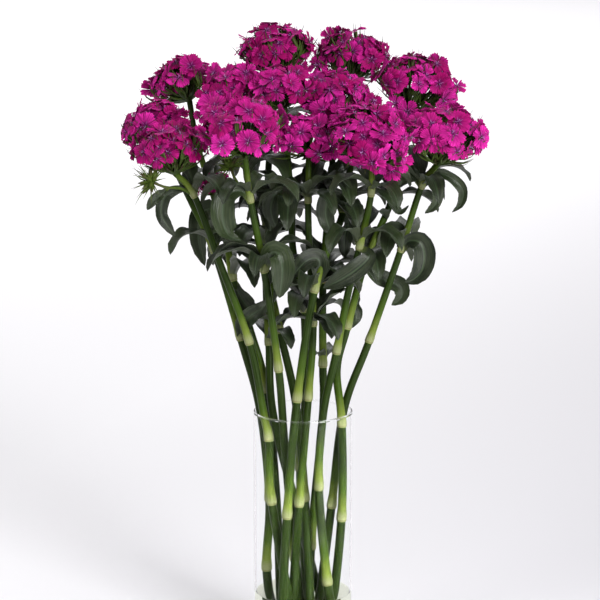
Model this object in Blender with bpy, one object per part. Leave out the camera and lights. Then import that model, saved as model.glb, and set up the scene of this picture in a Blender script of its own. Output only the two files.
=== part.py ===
"""A bunch of thirteen cut sweet william stems in a clear glass cylinder vase
with a little water. Lengths are in millimetres here and in metres in the scene.
The origin is the centre of the vase's underside, with +Z up and -Y to the front.
"""
import math
import random

import bmesh
import bpy
from mathutils import Matrix, Vector
from mathutils.bvhtree import BVHTree

MM = 0.001
VASE_RADIUS = 50.0
VASE_HEIGHT = 250.0
GLASS = 2.5
VASE_FLOOR = 6.0
WATER_LEVEL = 61.0
GAP = 0.35
STEM_RADIUS_FOOT = 3.5
STEM_RADIUS_TOP = 2.8
STEM_SIDES = 6
FOOT_HEIGHT = 9.5
JOINT_SWELL = 1.5
BLADE_THICKNESS = 1.5
FLORET_AREA = 540.0
FLORET_RADIUS = 14.0
HEAD_FLATNESS = 0.70
CORE = 0.70
UNDERSIDE = 0.22
HUB = 0.78
# Three points of each petal lobe: turn in radians, reach, and how far it stands out.
LOBE = ((0.0, 0.60, -0.045), (0.40, 1.0, 0.0), (0.86, 0.97, 0.012))
# Where a leaf has rows of points, as shares of its length, and its width at each.
LEAF_PLACES = (0.0, 0.16, 0.38, 0.62, 0.84)
LEAF_SHARES = (0.34, 0.5, 0.96, 1.0, 0.7)
LEAF_FOLD = 0.28
LEAF_ROOM = 1.1
# A ring of every stem just over the water, and the top of the holes in the water.
DRY_RING = 66.0
HOLE_TOP = 70.0
SEED = 21

# Each stem: foot (x, y), then points (x, y, z, is it a swollen joint).
# Its head: middle of the blossom, way it leans, lean from upright in degrees, radius.
STEMS = {
    "01": {
        "foot": (-28, 12),
        "path": [(-37, 10, 81, 1), (-34, 5, 155, 1), (-43, 0, 249, 0), (-62, -6, 324, 1),
                 (-88, -8, 413, 1), (-110, 2, 459, 0)],
        "head": (-152, 25, 546), "toward": 165, "lean": 24, "radius": 33,
    },
    "02": {
        "foot": (-6, -12),
        "path": [(-31, -26, 160, 1), (-34, -21, 224, 1), (-39, -19, 249, 0),
                 (-53, -22, 323, 1), (-81, -28, 403, 0), (-106, -36, 473, 1)],
        "head": (-130, -50, 533), "toward": 200, "lean": 10, "radius": 37,
    },
    "03": {
        "foot": (-22, 24),
        "path": [(-27, 20, 151, 0), (-37, 18, 265, 1), (-52, 24, 323, 0), (-70, 30, 377, 1),
                 (-77, 38, 415, 0), (-92, 52, 466, 1), (-107, 68, 510, 0)],
        "head": (-129, 92, 581), "toward": 165, "lean": 26, "radius": 33,
    },
    "04": {
        "foot": (26, 30),
        "path": [(-3, 19, 130, 1), (-30, 4, 244, 0), (-34, 14, 314, 1), (-37, 32, 367, 0),
                 (-37, 46, 426, 1), (-33, 68, 514, 1)],
        "head": (-29, 96, 613), "toward": 150, "lean": 8, "radius": 38,
    },
    "05": {
        "foot": (1, 12),
        "path": [(-8, 2, 93, 1), (-18, -24, 215, 0), (-24, -34, 298, 1), (-38, -46, 400, 1),
                 (-51, -56, 471, 1)],
        "head": (-58, -80, 558), "toward": 262, "lean": 18, "radius": 41,
    },
    "06": {
        "foot": (9, -12),
        "path": [(2, 4, 155, 1), (-7, 12, 252, 0), (-23, 15, 327, 1), (-41, 18, 410, 1),
                 (-55, 26, 480, 1)],
        "head": (-68, 48, 578), "toward": 250, "lean": 10, "radius": 33,
    },
    "07": {
        "foot": (-23, -30),
        "path": [(-16, -36, 148, 1), (-6, -38, 268, 1), (11, -37, 378, 1), (31, -26, 434, 0),
                 (39, -16, 453, 1), (49, 24, 510, 1), (51, 72, 552, 0)],
        "head": (51, 98, 608), "toward": 30, "lean": 8, "radius": 38,
    },
    "08": {
        "foot": (-13, -2),
        "path": [(-4, -22, 157, 1), (5, -27, 267, 1), (10, -25, 342, 1), (6, -22, 421, 0),
                 (5, -24, 465, 1)],
        "head": (5, -30, 538), "toward": 268, "lean": 26, "radius": 31,
    },
    "09": {
        "foot": (6, 34),
        "path": [(-3, 31, 180, 1), (2, 28, 249, 0), (1, 18, 348, 1), (-10, 10, 412, 0),
                 (-11, 4, 452, 1), (-15, 4, 508, 0)],
        "head": (-21, 5, 583), "toward": 250, "lean": 16, "radius": 29,
    },
    "10": {
        "foot": (6, 0),
        "path": [(8, 10, 103, 1), (20, 12, 242, 0), (20, 6, 294, 1), (20, 4, 380, 1),
                 (26, 8, 462, 1), (31, 14, 522, 0)],
        "head": (37, 26, 574), "toward": 285, "lean": 18, "radius": 35,
    },
    "11": {
        "foot": (34, -8),
        "path": [(25, -9, 71, 1), (16, -14, 172, 1), (20, -19, 249, 0), (33, -20, 313, 1),
                 (44, -28, 373, 0), (55, -36, 421, 1), (66, -48, 476, 1)],
        "head": (67, -78, 543), "toward": 272, "lean": 46, "radius": 39,
    },
    "12": {
        "foot": (27, 11),
        "path": [(39, 3, 135, 1), (39, -5, 235, 1), (34, 0, 291, 0), (44, 4, 333, 1),
                 (63, 12, 401, 1), (88, 22, 459, 1), (101, 36, 515, 0)],
        "head": (117, 58, 583), "toward": 345, "lean": 14, "radius": 43,
    },
    "13": {
        "foot": (12, 11),
        "path": [(29, 16, 145, 1), (41, 8, 247, 0), (66, 6, 319, 1), (97, 2, 412, 1),
                 (117, -4, 477, 1)],
        "head": (142, -30, 543), "toward": 330, "lean": 16, "radius": 42,
    },
}

# Leaves that show singly: the stem each grows from, its width, the way its face
# looks at the root and at the tip, and the points along its midrib.
BLADES = [
    ("02", 13, (0, -1, 0.3), (0.5, -1, -0.2),
     [(-106, -36, 473), (-116, -39, 481), (-134, -42, 475), (-139, -42, 458),
      (-133, -42, 445), (-124, -40, 433)]),
    ("01", 20, (-0.3, -1, 0.4), (0, -1, 0),
     [(-88, -8, 413), (-85, 6, 433), (-91, 12, 452), (-102, 11, 446), (-104, 9, 420),
      (-98, 8, 396)]),
    ("05", 24, (0.2, -1, 0.6), (0, -0.6, 1),
     [(-51, -56, 471), (-60, -61, 482), (-74, -66, 477), (-78, -68, 459), (-73, -67, 440),
      (-60, -64, 434)]),
    ("04", 12, (0, -1, 0.8), (0, -1, 1),
     [(-37, 46, 426), (-48, 24, 431), (-62, -4, 431), (-78, -26, 436), (-94, -40, 432)]),
    ("05", 11, (0, -1, 0.6), (0, -1, 0.6),
     [(-38, -46, 400), (-45, -44, 412), (-57, -43, 420), (-70, -42, 426), (-80, -42, 431)]),
    ("03", 18, (0, -1, 0.3), (0.3, -1, 0.6),
     [(-70, 30, 377), (-63, 22, 362), (-54, 16, 351), (-44, 12, 351), (-36, 10, 361)]),
    ("01", 17, (0, -1, -0.3), (0, -1, 0.6),
     [(-62, -6, 324), (-61, -15, 339), (-53, -20, 350), (-42, -20, 357), (-33, -16, 366)]),
    ("05", 24, (0.4, -1, 0.2), (0, -1, 0.1),
     [(-38, -46, 400), (-34, -55, 418), (-24, -62, 421), (-20, -64, 404), (-23, -62, 377)]),
    ("07", 19, (0, -1, 0.2), (0.2, -1, 0.5),
     [(11, -37, 378), (16, -32, 396), (15, -32, 411), (3, -34, 410), (-13, -36, 392)]),
    ("11", 20, (0.3, -1, 0.5), (0.3, -1, 0.4),
     [(55, -36, 421), (65, -48, 416), (51, -50, 402), (35, -46, 391), (20, -42, 383)]),
    ("12", 18, (0, -1, 0.6), (0, -1, 0.4),
     [(63, 12, 401), (69, 17, 386), (84, 20, 378), (97, 22, 372), (99, 22, 361), (89, 22, 353)]),
    ("13", 22, (0.3, -1, 0.4), (-0.2, -1, 0.1),
     [(97, 2, 412), (104, -6, 423), (115, -11, 423), (120, -12, 411), (118, -12, 396),
      (110, -11, 386), (101, -10, 383)]),
    ("13", 16, (0, -1, 0.3), (0.3, -1, 0),
     [(97, 2, 412), (98, 9, 427), (90, 12, 433), (82, 13, 425), (78, 13, 401)]),
    ("12", 16, (0.2, -1, 0.3), (0.2, -1, 0.3),
     [(63, 12, 401), (63, 20, 415), (72, 26, 425), (84, 28, 430)]),
    ("12", 8, (0, -1, 0.5), (0, -1, 1),
     [(88, 22, 459), (85, 10, 466), (90, 4, 456), (98, 2, 451), (105, 2, 458)]),
    ("13", 11, (0, -1, 0.8), (-0.5, -1, 0.3),
     [(117, -4, 477), (125, -7, 489), (136, -9, 491), (149, -11, 485), (158, -11, 474),
      (156, -11, 461), (147, -11, 453)]),
    ("13", 11, (0.4, -1, 0.2), (0, -1, 0.2),
     [(117, -4, 477), (126, -15, 485), (132, -19, 474), (130, -19, 462), (120, -17, 453)]),
    ("13", 17, (0, -1, 0.3), (0.5, -1, 0),
     [(117, -4, 477), (109, 0, 490), (98, 4, 495), (90, 5, 483), (87, 5, 463)]),
    ("07", 19, (-0.2, -1, 0.3), (0, -1, 0),
     [(39, -16, 453), (36, -28, 468), (27, -35, 472), (22, -37, 456), (29, -37, 432)]),
    ("07", 16, (0, -1, 0.3), (0.3, -1, 0),
     [(39, -16, 453), (45, -8, 441), (41, 0, 428), (41, 2, 405)]),
    ("09", 18, (-0.3, -1, 0.3), (0, -1, 0),
     [(-11, 4, 452), (-15, -8, 470), (-26, -15, 474), (-32, -17, 457), (-26, -17, 437)]),
    ("12", 12, (0.3, -1, 0), (0.6, -1, 0),
     [(44, 4, 333), (53, 9, 341), (51, 12, 357), (56, 14, 371)]),
    ("02", 10, (0, -1, 0.4), (0, -1, 0.1),
     [(-131, -55, 484), (-139, -60, 478), (-146, -63, 472), (-151, -64, 464)]),
]

# Other leaf pairs, which fill the bunch: stem, height of the joint, way the pair
# opens, leaf length, leaf width.
PAIRS = [
    ("01", 413, 250, 71, 20), ("02", 473, 300, 71, 20), ("03", 377, 110, 82, 22),
    ("03", 466, 70, 84, 22), ("04", 426, 95, 86, 24), ("04", 514, 60, 71, 20),
    ("05", 400, 200, 65, 19), ("05", 471, 330, 67, 20), ("06", 410, 70, 78, 22),
    ("06", 480, 130, 76, 22), ("07", 510, 40, 76, 20), ("08", 342, 285, 60, 18),
    ("08", 465, 250, 71, 21), ("09", 348, 80, 69, 20), ("09", 452, 100, 80, 22),
    ("10", 294, 60, 45, 16), ("10", 380, 330, 76, 21), ("10", 462, 50, 84, 24),
    ("11", 421, 320, 67, 20), ("11", 476, 215, 60, 19), ("12", 401, 100, 78, 21),
    ("12", 459, 60, 84, 22), ("13", 412, 75, 76, 21), ("13", 477, 105, 69, 19),
    ("04", 426, 10, 71, 20), ("06", 410, 165, 65, 19), ("09", 452, 190, 67, 20),
    ("10", 462, 140, 71, 20), ("12", 459, 150, 69, 20), ("08", 465, 340, 63, 19),
    ("07", 378, 20, 66, 20), ("10", 380, 60, 78, 22), ("09", 348, 170, 70, 20),
    ("05", 400, 20, 74, 21), ("06", 327, 40, 60, 18), ("12", 401, 190, 72, 21),
    ("11", 421, 60, 74, 21), ("08", 342, 15, 66, 19), ("04", 314, 120, 56, 17),
    ("07", 453, 292, 72, 20), ("13", 477, 15, 64, 18), ("04", 514, 150, 72, 19),
    ("07", 510, 130, 70, 18), ("11", 476, 120, 62, 18), ("09", 452, 30, 72, 20),
    ("06", 480, 40, 70, 19), ("12", 459, 105, 76, 20),
]

# Side shoots: stem, points along the stalk, radius of the cluster of closed buds.
SHOOTS = [
    ("02", [(-106, -36, 473), (-119, -44, 482), (-133, -56, 485), (-146, -62, 491)], 10),
    ("05", [(-51, -56, 471), (-60, -54, 484), (-67, -48, 494), (-71, -42, 503)], 9),
]
# A small late blossom low on stem 03: points along its stalk, lean and radius.
LATE_STALK = [(-82, 44, 438), (-83, 36, 450)]
LATE_HEAD = {"head": (-87, 24, 478), "toward": 235, "lean": 30, "radius": 14}


def clear_scene():
    for obj in list(bpy.data.objects):
        bpy.data.objects.remove(obj, do_unlink=True)


def material(name, colour, roughness, transmission=0.0):
    made = bpy.data.materials.new(name)
    made.use_nodes = True
    shader = made.node_tree.nodes["Principled BSDF"]
    shader.inputs["Base Color"].default_value = (*colour, 1.0)
    shader.inputs["Roughness"].default_value = roughness
    shader.inputs["Transmission Weight"].default_value = transmission
    return made


def add_object(name, points, faces, surface):
    """One closed mesh object, from points in millimetres, facing outward."""
    mesh = bpy.data.meshes.new(name)
    mesh.from_pydata([Vector(p) * MM for p in points], [], faces)
    shape = bmesh.new()
    shape.from_mesh(mesh)
    bmesh.ops.recalc_face_normals(shape, faces=shape.faces)
    shape.to_mesh(mesh)
    shape.free()
    obj = bpy.data.objects.new(name, mesh)
    bpy.context.scene.collection.objects.link(obj)
    mesh.materials.append(surface)
    return obj


def curve_through(points, pieces=24):
    """A smooth dense line through the points, and the index of each point on it."""
    line = []
    marks = []
    last = len(points) - 1
    for i in range(last):
        a = points[max(i - 1, 0)]
        b = points[i]
        c = points[i + 1]
        d = points[min(i + 2, last)]
        marks.append(len(line))
        for k in range(pieces):
            t = k / pieces
            line.append(0.5 * (2 * b + (c - a) * t + (2 * a - 5 * b + 4 * c - d) * t * t
                               + (3 * b - a - 3 * c + d) * t ** 3))
    marks.append(len(line))
    line.append(points[last].copy())
    return line, marks


def lengths_along(line):
    total = [0.0]
    for a, b in zip(line, line[1:]):
        total.append(total[-1] + (b - a).length)
    return total


def at_length(line, total, s):
    """Point and heading of the line at the length s from its start."""
    s = min(max(s, 0.0), total[-1])
    for i in range(len(line) - 1):
        if total[i + 1] >= s:
            step = line[i + 1] - line[i]
            share = (s - total[i]) / max(total[i + 1] - total[i], 1e-6)
            return line[i] + step * share, step.normalized()
    return line[-1].copy(), (line[-1] - line[-2]).normalized()


def tube(centres, headings, radii, sides):
    """Closed tube: rings of points carried along without twist."""
    across = headings[0].cross(Vector((0.31, 0.95, 0.05))).normalized()
    points = []
    for centre, heading, radius in zip(centres, headings, radii):
        across = (across - heading * across.dot(heading)).normalized()
        other = heading.cross(across)
        for k in range(sides):
            angle = 2 * math.pi * k / sides
            points.append(centre + across * (radius * math.cos(angle))
                          + other * (radius * math.sin(angle)))
    faces = [tuple(reversed(range(sides)))]
    for i in range(len(centres) - 1):
        for k in range(sides):
            n = (k + 1) % sides
            a = i * sides
            b = a + sides
            faces.append((a + k, a + n, b + n, b + k))
    top = (len(centres) - 1) * sides
    faces.append(tuple(top + k for k in range(sides)))
    return points, faces


def lean_axis(toward, lean):
    turn = math.radians(toward)
    tilt = math.radians(lean)
    return Vector((math.sin(tilt) * math.cos(turn), math.sin(tilt) * math.sin(turn),
                   math.cos(tilt)))


def head_place(spec):
    """Middle of the blossom's base plane, its axis and its radius."""
    axis = lean_axis(spec["toward"], spec["lean"])
    radius = spec["radius"]
    return Vector(spec["head"]) - axis * (0.27 * radius), axis, radius


def stem_line(spec):
    base, axis, radius = head_place(spec)
    foot = Vector((*spec["foot"], FOOT_HEIGHT))
    points = [foot] + [Vector(p[:3]) for p in spec["path"]]
    joints = [False] + [bool(p[3]) for p in spec["path"]]
    points.append(base - axis * (0.72 * radius))
    joints.append(False)
    line, marks = curve_through(points)
    total = lengths_along(line)
    return line, total, [total[m] for m, joint in zip(marks, joints) if joint]


def stem_rings(spec):
    """Where the stem has rings: length from the foot, and share of the plain radius."""
    line, total, joints = stem_line(spec)
    rings = {0.0: 1.0, total[-1]: 0.95}
    for s in joints:
        for offset, share in ((-4, 0.95), (1, JOINT_SWELL), (26, 1.0)):
            if 2 < s + offset < total[-1] - 3:
                rings[s + offset] = share
    places = sorted(rings)
    for a, b in zip(places, places[1:]):
        extra = int((b - a) // 62)
        for k in range(extra):
            rings[a + (b - a) * (k + 1) / (extra + 1)] = 1.0
    for s in list(rings):
        point, _ = at_length(line, total, s)
        if WATER_LEVEL - 12 < point.z < WATER_LEVEL + 4 and rings[s] == 1.0 and s > 1:
            del rings[s]
    rings[DRY_RING - FOOT_HEIGHT] = 1.0
    return line, total, sorted(rings.items())


def plain_radius(s, whole):
    return STEM_RADIUS_FOOT + (STEM_RADIUS_TOP - STEM_RADIUS_FOOT) * s / whole


def stem_tube(spec):
    line, total, rings = stem_rings(spec)
    places = [at_length(line, total, s) for s, _ in rings]
    radii = [plain_radius(s, total[-1]) * share for s, share in rings]
    return tube([p for p, _ in places], [h for _, h in places], radii, STEM_SIDES)


def stem_hole(spec):
    """The same tube a little wider, over the part that stands in the water."""
    line, total, rings = stem_rings(spec)
    wet = [(s, share) for s, share in rings if s <= HOLE_TOP - FOOT_HEIGHT]
    places = [at_length(line, total, s) for s, _ in wet]
    centres = [p for p, _ in places]
    headings = [h for _, h in places]
    radii = [plain_radius(s, total[-1]) + GAP + 0.15 for s, _ in wet]
    centres[0] = centres[0] - headings[0] * GAP
    return tube(centres, headings, radii, STEM_SIDES)


def cross_frame(axis):
    side = axis.cross(Vector((0.2, 0.9, 0.38))).normalized()
    return side, axis.cross(side)


def skirt(spec, bracts, reach, draw):
    """Green calyx cone under a head, flat under the blossom, with bracts that stand out."""
    base, axis, radius = head_place(spec)
    side, other = cross_frame(axis)

    def out(k):
        angle = 2 * math.pi * k / bracts
        return side * math.cos(angle) + other * math.sin(angle)

    low = [base - axis * (HUB * radius) + out(k) * (0.09 * radius) for k in range(bracts)]
    top = [base - axis * (UNDERSIDE * radius + GAP + 0.1) + out(k) * (0.5 * radius)
           for k in range(bracts)]
    tips = [base - axis * (draw.uniform(0.44, 0.6) * radius)
            + out(k + 0.5) * (draw.uniform(0.8, 1.0) * reach * radius) for k in range(bracts)]
    faces = [tuple(reversed(range(bracts))), tuple(bracts + k for k in range(bracts))]
    for k in range(bracts):
        n = (k + 1) % bracts
        tip = 2 * bracts + k
        faces.append((k, n, tip))
        faces.append((n, bracts + n, tip))
        faces.append((bracts + n, bracts + k, tip))
        faces.append((bracts + k, k, tip))
    return low + top + tips, faces


def spike(root, way, length, width, droop):
    """Three-sided needle with a slight bend."""
    side, other = cross_frame(way)
    middle = root + way * (length * 0.5) + Vector((0, 0, -droop * 0.3))
    tip = root + way * length + Vector((0, 0, -droop))
    points = []
    for centre, share in ((root, 1.0), (middle, 0.8)):
        for k in range(3):
            angle = 2 * math.pi * k / 3
            points.append(centre + side * (width * share * math.cos(angle))
                          + other * (width * share * math.sin(angle)))
    points.append(tip)
    faces = [(2, 1, 0)]
    for k in range(3):
        n = (k + 1) % 3
        faces.append((k, n, 3 + n, 3 + k))
        faces.append((3 + k, 3 + n, 6))
    return points, faces


def blade(points, width, face_root, face_tip, wave, extra=0.0):
    """Leaf with a folded midrib: a closed thin solid, pointed at the tip."""
    line, _ = curve_through([Vector(p) for p in points], 12)
    total = lengths_along(line)
    solid = []
    thick = BLADE_THICKNESS + extra
    for t, share in zip(LEAF_PLACES, LEAF_SHARES):
        centre, heading = at_length(line, total, t * total[-1])
        face = Vector(face_root).lerp(Vector(face_tip), t)
        side = heading.cross(face).normalized()
        up = side.cross(heading).normalized()
        half = 0.5 * width * share + extra * 0.5
        lift = LEAF_FOLD * half
        ripple = wave * share * math.sin(t * 11.0)
        solid.append(centre - side * half + up * (lift + ripple))
        solid.append(centre + up * (thick * 0.5))
        solid.append(centre + side * half + up * (lift - ripple))
        solid.append(centre - up * (thick * 0.5))
    tip, _ = at_length(line, total, total[-1])
    solid.append(tip)
    faces = [(0, 1, 2), (0, 2, 3)]
    last = len(LEAF_PLACES) - 1
    for i in range(last):
        a = 4 * i
        b = a + 4
        for left, right in ((0, 1), (2, 1), (0, 3), (2, 3)):
            faces.append((a + left, a + right, b + right))
            faces.append((a + left, b + right, b + left))
    a = 4 * last
    end = a + 4
    for k in range(4):
        faces.append((a + k, a + (k + 1) % 4, end))
    return solid, faces


def arching_points(root, toward, length, lift, droop):
    """Midrib that rises from the joint, arches over and hangs."""
    out = Vector((math.cos(math.radians(toward)), math.sin(math.radians(toward)), 0))
    points = [root.copy()]
    steps = 6
    place = root.copy()
    for k in range(steps):
        t = (k + 0.5) / steps
        angle = math.radians(lift - droop * t ** 1.25)
        place = place + (out * math.cos(angle) + Vector((0, 0, math.sin(angle)))) * (length / steps)
        points.append(place.copy())
    across = Vector((-out.y, out.x, 0))
    up_root = across.cross((points[1] - points[0]).normalized())
    up_tip = across.cross((points[-1] - points[-2]).normalized())
    return points, -up_root, -up_tip


def tree_of(piece):
    points, faces = piece
    return BVHTree.FromPolygons([tuple(p) for p in points], faces)


def hits(piece, trees):
    tested = tree_of(piece)
    return any(tested.overlap(other) for other in trees)


def beyond_root(piece):
    """The blade from its third station on, for the test against its own stem."""
    points, faces = piece
    kept = [f for f in faces if min(f) >= 8]
    return points, kept


def has_room(spec, own, trees):
    """True if the blade, made thicker all round, meets nothing that stands already."""
    fat = blade(*spec, LEAF_ROOM)
    if hits(fat, [tree for name, tree in trees if name != own]):
        return False
    return not hits(beyond_root(fat), [tree for name, tree in trees if name == own])


def shifted(points, push):
    """The same midrib, pushed in depth more and more away from the root."""
    last = len(points) - 1
    return [Vector(p) + Vector((0, push * min(1.0, 1.6 * i / last), 0))
            for i, p in enumerate(points)]


def first_with_room(choices, own, trees):
    for spec in choices:
        if has_room(spec, own, trees):
            trees.append((own, tree_of(blade(*spec))))
            return [(own, spec)]
    return []


def single_choices(entry, wave):
    """A leaf as listed, then the same leaf pushed more and more forward or back."""
    _, width, face_root, face_tip, points = entry
    for push in (0, 3, -3, 6, -6, 9, -9, 13, -13, 18, -18, 24, -24, 30, -30):
        yield shifted(points, push), width, face_root, face_tip, wave


def pair_choices(root, toward, length, width, wave):
    """A leaf that arches as it grows, then ones turned aside, shorter or less bent."""
    for turn in (0, 14, -14, 28, -28, 42, -42, 58, -58, 76, -76):
        for lift, droop, share in ((58, 130, 1.0), (70, 120, 1.0), (40, 115, 1.0),
                                   (74, 160, 0.9), (50, 90, 0.85), (66, 60, 0.8),
                                   (30, 100, 0.75), (76, 30, 0.7)):
            points, up_root, up_tip = arching_points(root, toward + turn, length * share,
                                                     lift, droop)
            yield points, width, up_root, up_tip, wave


def all_leaves(trees, draw):
    """Every leaf as (stem, blade values), each in the first place that has room for it."""
    found = []
    for entry in BLADES:
        wave = draw.uniform(0.2, 0.7)
        found += first_with_room(single_choices(entry, wave), entry[0], trees)
    for stem, height, toward, length, width in PAIRS:
        root = Vector(next(p[:3] for p in STEMS[stem]["path"] if p[2] == height))
        root.z += 3.0
        for half_turn in (0, 180):
            wave = draw.uniform(0.2, 0.8)
            choices = pair_choices(root, toward + half_turn, length, width, wave)
            found += first_with_room(choices, stem, trees)
    return found


def cap_directions(count, lowest, draw):
    """Spread of directions over a dome, from its top down to the angle lowest."""
    floor = math.cos(math.radians(lowest))
    golden = math.pi * (3 - math.sqrt(5))
    turn = draw.uniform(0, 6.28)
    found = []
    for i in range(count):
        z = 1 - (i + 0.5) / count * (1 - floor)
        flat = math.sqrt(max(0.0, 1 - z * z))
        angle = turn + i * golden + draw.uniform(-0.12, 0.12)
        found.append(Vector((flat * math.cos(angle), flat * math.sin(angle), z)).normalized())
    return found


def cells_of(directions):
    """For each direction, the corners of its cell on the unit sphere, in order round it."""
    shape = bmesh.new()
    verts = [shape.verts.new(d) for d in directions]
    bmesh.ops.convex_hull(shape, input=verts, use_existing_faces=False)
    bmesh.ops.triangulate(shape, faces=shape.faces)
    shape.verts.index_update()
    shape.faces.index_update()
    corners = []
    for face in shape.faces:
        face.normal_update()
        normal = face.normal.copy()
        if normal.dot(face.calc_center_median()) < 0:
            normal = -normal
        corners.append(normal.normalized())
    cells = []
    for vert, way in zip(verts, directions):
        first = way.cross(Vector((0.37, 0.51, 0.78))).normalized()
        second = way.cross(first)
        order = sorted((f.index for f in vert.link_faces),
                       key=lambda i: math.atan2(corners[i].dot(second), corners[i].dot(first)))
        cells.append((order, first, second))
    shape.free()
    return corners, cells


def floret_rim(way, first, second, ring, phase, natural, draw):
    """Outline of a five-lobed floret that stays inside its cell's cone."""
    planes = []
    for a, b in zip(ring, ring[1:] + ring[:1]):
        normal = a.cross(b).normalized()
        planes.append(normal if normal.dot(way) > 0 else -normal)
    tilt = draw.uniform(0, 6.28)
    rim = []
    for lobe in range(5):
        for angle_in, share, out in LOBE:
            angle = phase + lobe * 2 * math.pi / 5 + angle_in
            heading = first * math.cos(angle) + second * math.sin(angle)
            most = natural
            for normal in planes:
                fall = -normal.dot(heading)
                if fall > 1e-6:
                    most = min(most, 0.955 * normal.dot(way) / fall)
            point = (way + heading * (most * share)).normalized()
            rim.append((angle, point * (1 + out + 0.03 * math.cos(angle - tilt))))
    return rim


def bridge(outer, inner):
    """Triangles between two closed rings of (angle, index), both sorted by angle."""
    full = 2 * math.pi
    a = sorted((angle % full, index) for angle, index in outer)
    b = sorted((angle % full, index) for angle, index in inner)
    faces = []
    i = 0
    j = 0
    while i < len(a) or j < len(b):
        next_a = a[(i + 1) % len(a)][0] + full * ((i + 1) // len(a))
        next_b = b[(j + 1) % len(b)][0] + full * ((j + 1) // len(b))
        if j >= len(b) or (i < len(a) and next_a <= next_b):
            faces.append((a[i % len(a)][1], a[(i + 1) % len(a)][1], b[j % len(b)][1]))
            i += 1
        else:
            faces.append((a[i % len(a)][1], b[(j + 1) % len(b)][1], b[j % len(b)][1]))
            j += 1
    return faces


def blossom(spec, draw):
    """One closed body: a core with a lobed floret standing out of each of its cells."""
    base, axis, radius = head_place(spec)
    side, other = cross_frame(axis)
    count = max(5, round(6.4 * radius * radius / FLORET_AREA))
    lowest = 100 if radius > 20 else 95
    florets = cap_directions(count, lowest, draw)
    under = [Vector((0, 0, -1))]
    for k in range(6):
        angle = math.pi * k / 3 + 0.2
        under.append(Vector((0.62 * math.cos(angle), 0.62 * math.sin(angle), -0.78)).normalized())
    corners, cells = cells_of(florets + under)
    stretch = Vector((radius, radius, radius * HEAD_FLATNESS))
    turn = Matrix((side, other, axis)).transposed()
    directions = florets + under

    def real(point, share=1.0):
        return Vector((point.x * stretch.x, point.y * stretch.y, point.z * stretch.z)) * share

    points = []
    for corner in corners:
        local = real(corner, CORE)
        if local.z < -UNDERSIDE * radius:
            local = Vector((local.x, local.y, -UNDERSIDE * radius))
        points.append(local)
    faces = []
    natural = FLORET_RADIUS / radius
    for number, (order, first, second) in enumerate(cells):
        way = directions[number]
        if number >= count:
            faces.append(tuple(order))
            continue
        ring = [corners[i] for i in order]
        phase = draw.uniform(0, 6.28)
        rim = floret_rim(way, first, second, ring, phase, natural, draw)
        start = len(points)
        for _, point in rim:
            points.append(real(point))
        inner = [(math.atan2(corners[i].dot(second), corners[i].dot(first)), i) for i in order]
        outer = [(angle, start + k) for k, (angle, _) in enumerate(rim)]
        faces.extend(bridge(outer, inner))
        centre = len(points)
        points.append(real(way, 0.945))
        for k in range(len(rim)):
            faces.append((centre, start + k, start + (k + 1) % len(rim)))
    return [base + turn @ p for p in points], faces


def bud_cluster(points, radius, draw):
    """Closed buds, one pointed body for each cell round the end of a side shoot."""
    centre = Vector(points[-1])
    way = (Vector(points[-1]) - Vector(points[-2])).normalized()
    side, other = cross_frame(way)
    turn = Matrix((side, other, way)).transposed()
    buds = cap_directions(13, 125, draw)
    corners, cells = cells_of(buds + [Vector((0, 0, -1))])
    solid = [centre + turn @ (corner * (radius * 0.42)) for corner in corners]
    faces = []
    for number, (order, _, _) in enumerate(cells):
        if number == len(buds):
            faces.append(tuple(order))
            continue
        tip = len(solid)
        solid.append(centre + turn @ (buds[number] * (radius * draw.uniform(1.0, 1.45))))
        for i, j in zip(order, order[1:] + order[:1]):
            faces.append((i, j, tip))
    bracts = [spike(centre + turn @ (buds[k] * radius * 0.3), turn @ buds[k + 1],
                    radius * draw.uniform(1.4, 1.9), 0.8, 0.5) for k in (4, 7, 10)]
    return [(solid, faces)] + bracts


def stalk(points, radius):
    line, _ = curve_through([Vector(p) for p in points], 8)
    total = lengths_along(line)
    places = [at_length(line, total, total[-1] * t) for t in (0, 0.3, 0.65, 1.0)]
    return tube([p for p, _ in places], [h for _, h in places], [radius] * 4, 5)


def fuse(name, body, extras, surface):
    """One solid of the stem and all that grows from it."""
    main = add_object(name, *body, surface)
    group = bpy.data.collections.new(name + "_grown")
    bpy.context.scene.collection.children.link(group)
    for k, piece in enumerate(extras):
        helper = add_object(name + "_grown_" + str(k), *piece, surface)
        bpy.context.scene.collection.objects.unlink(helper)
        group.objects.link(helper)
    for solver in ("EXACT", "MANIFOLD"):
        before = main.data.copy()
        modifier = main.modifiers.new("grown", "BOOLEAN")
        modifier.operation = "UNION"
        modifier.operand_type = "COLLECTION"
        modifier.collection = group
        modifier.solver = solver
        bpy.context.view_layer.objects.active = main
        bpy.ops.object.modifier_apply(modifier=modifier.name)
        if is_closed(main.data):
            break
        main.data = before
    for helper in list(group.objects):
        bpy.data.objects.remove(helper, do_unlink=True)
    bpy.data.collections.remove(group)
    return main


def is_closed(mesh):
    shape = bmesh.new()
    shape.from_mesh(mesh)
    sound = len(shape.faces) > 0 and all(len(e.link_faces) == 2 for e in shape.edges)
    sound = sound and shape.calc_volume() > 0
    shape.free()
    return sound


def turned(profile, sides):
    """Solid of revolution; the profile starts and ends on the axis."""
    points = [Vector((0, 0, profile[0][1])), Vector((0, 0, profile[-1][1]))]
    rings = profile[1:-1]
    for r, z in rings:
        for k in range(sides):
            angle = 2 * math.pi * k / sides
            points.append(Vector((r * math.cos(angle), r * math.sin(angle), z)))
    faces = []
    for k in range(sides):
        n = (k + 1) % sides
        faces.append((0, 2 + n, 2 + k))
        for i in range(len(rings) - 1):
            a = 2 + i * sides
            b = a + sides
            faces.append((a + k, a + n, b + n, b + k))
        last = 2 + (len(rings) - 1) * sides
        faces.append((1, last + k, last + n))
    return points, faces


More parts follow.
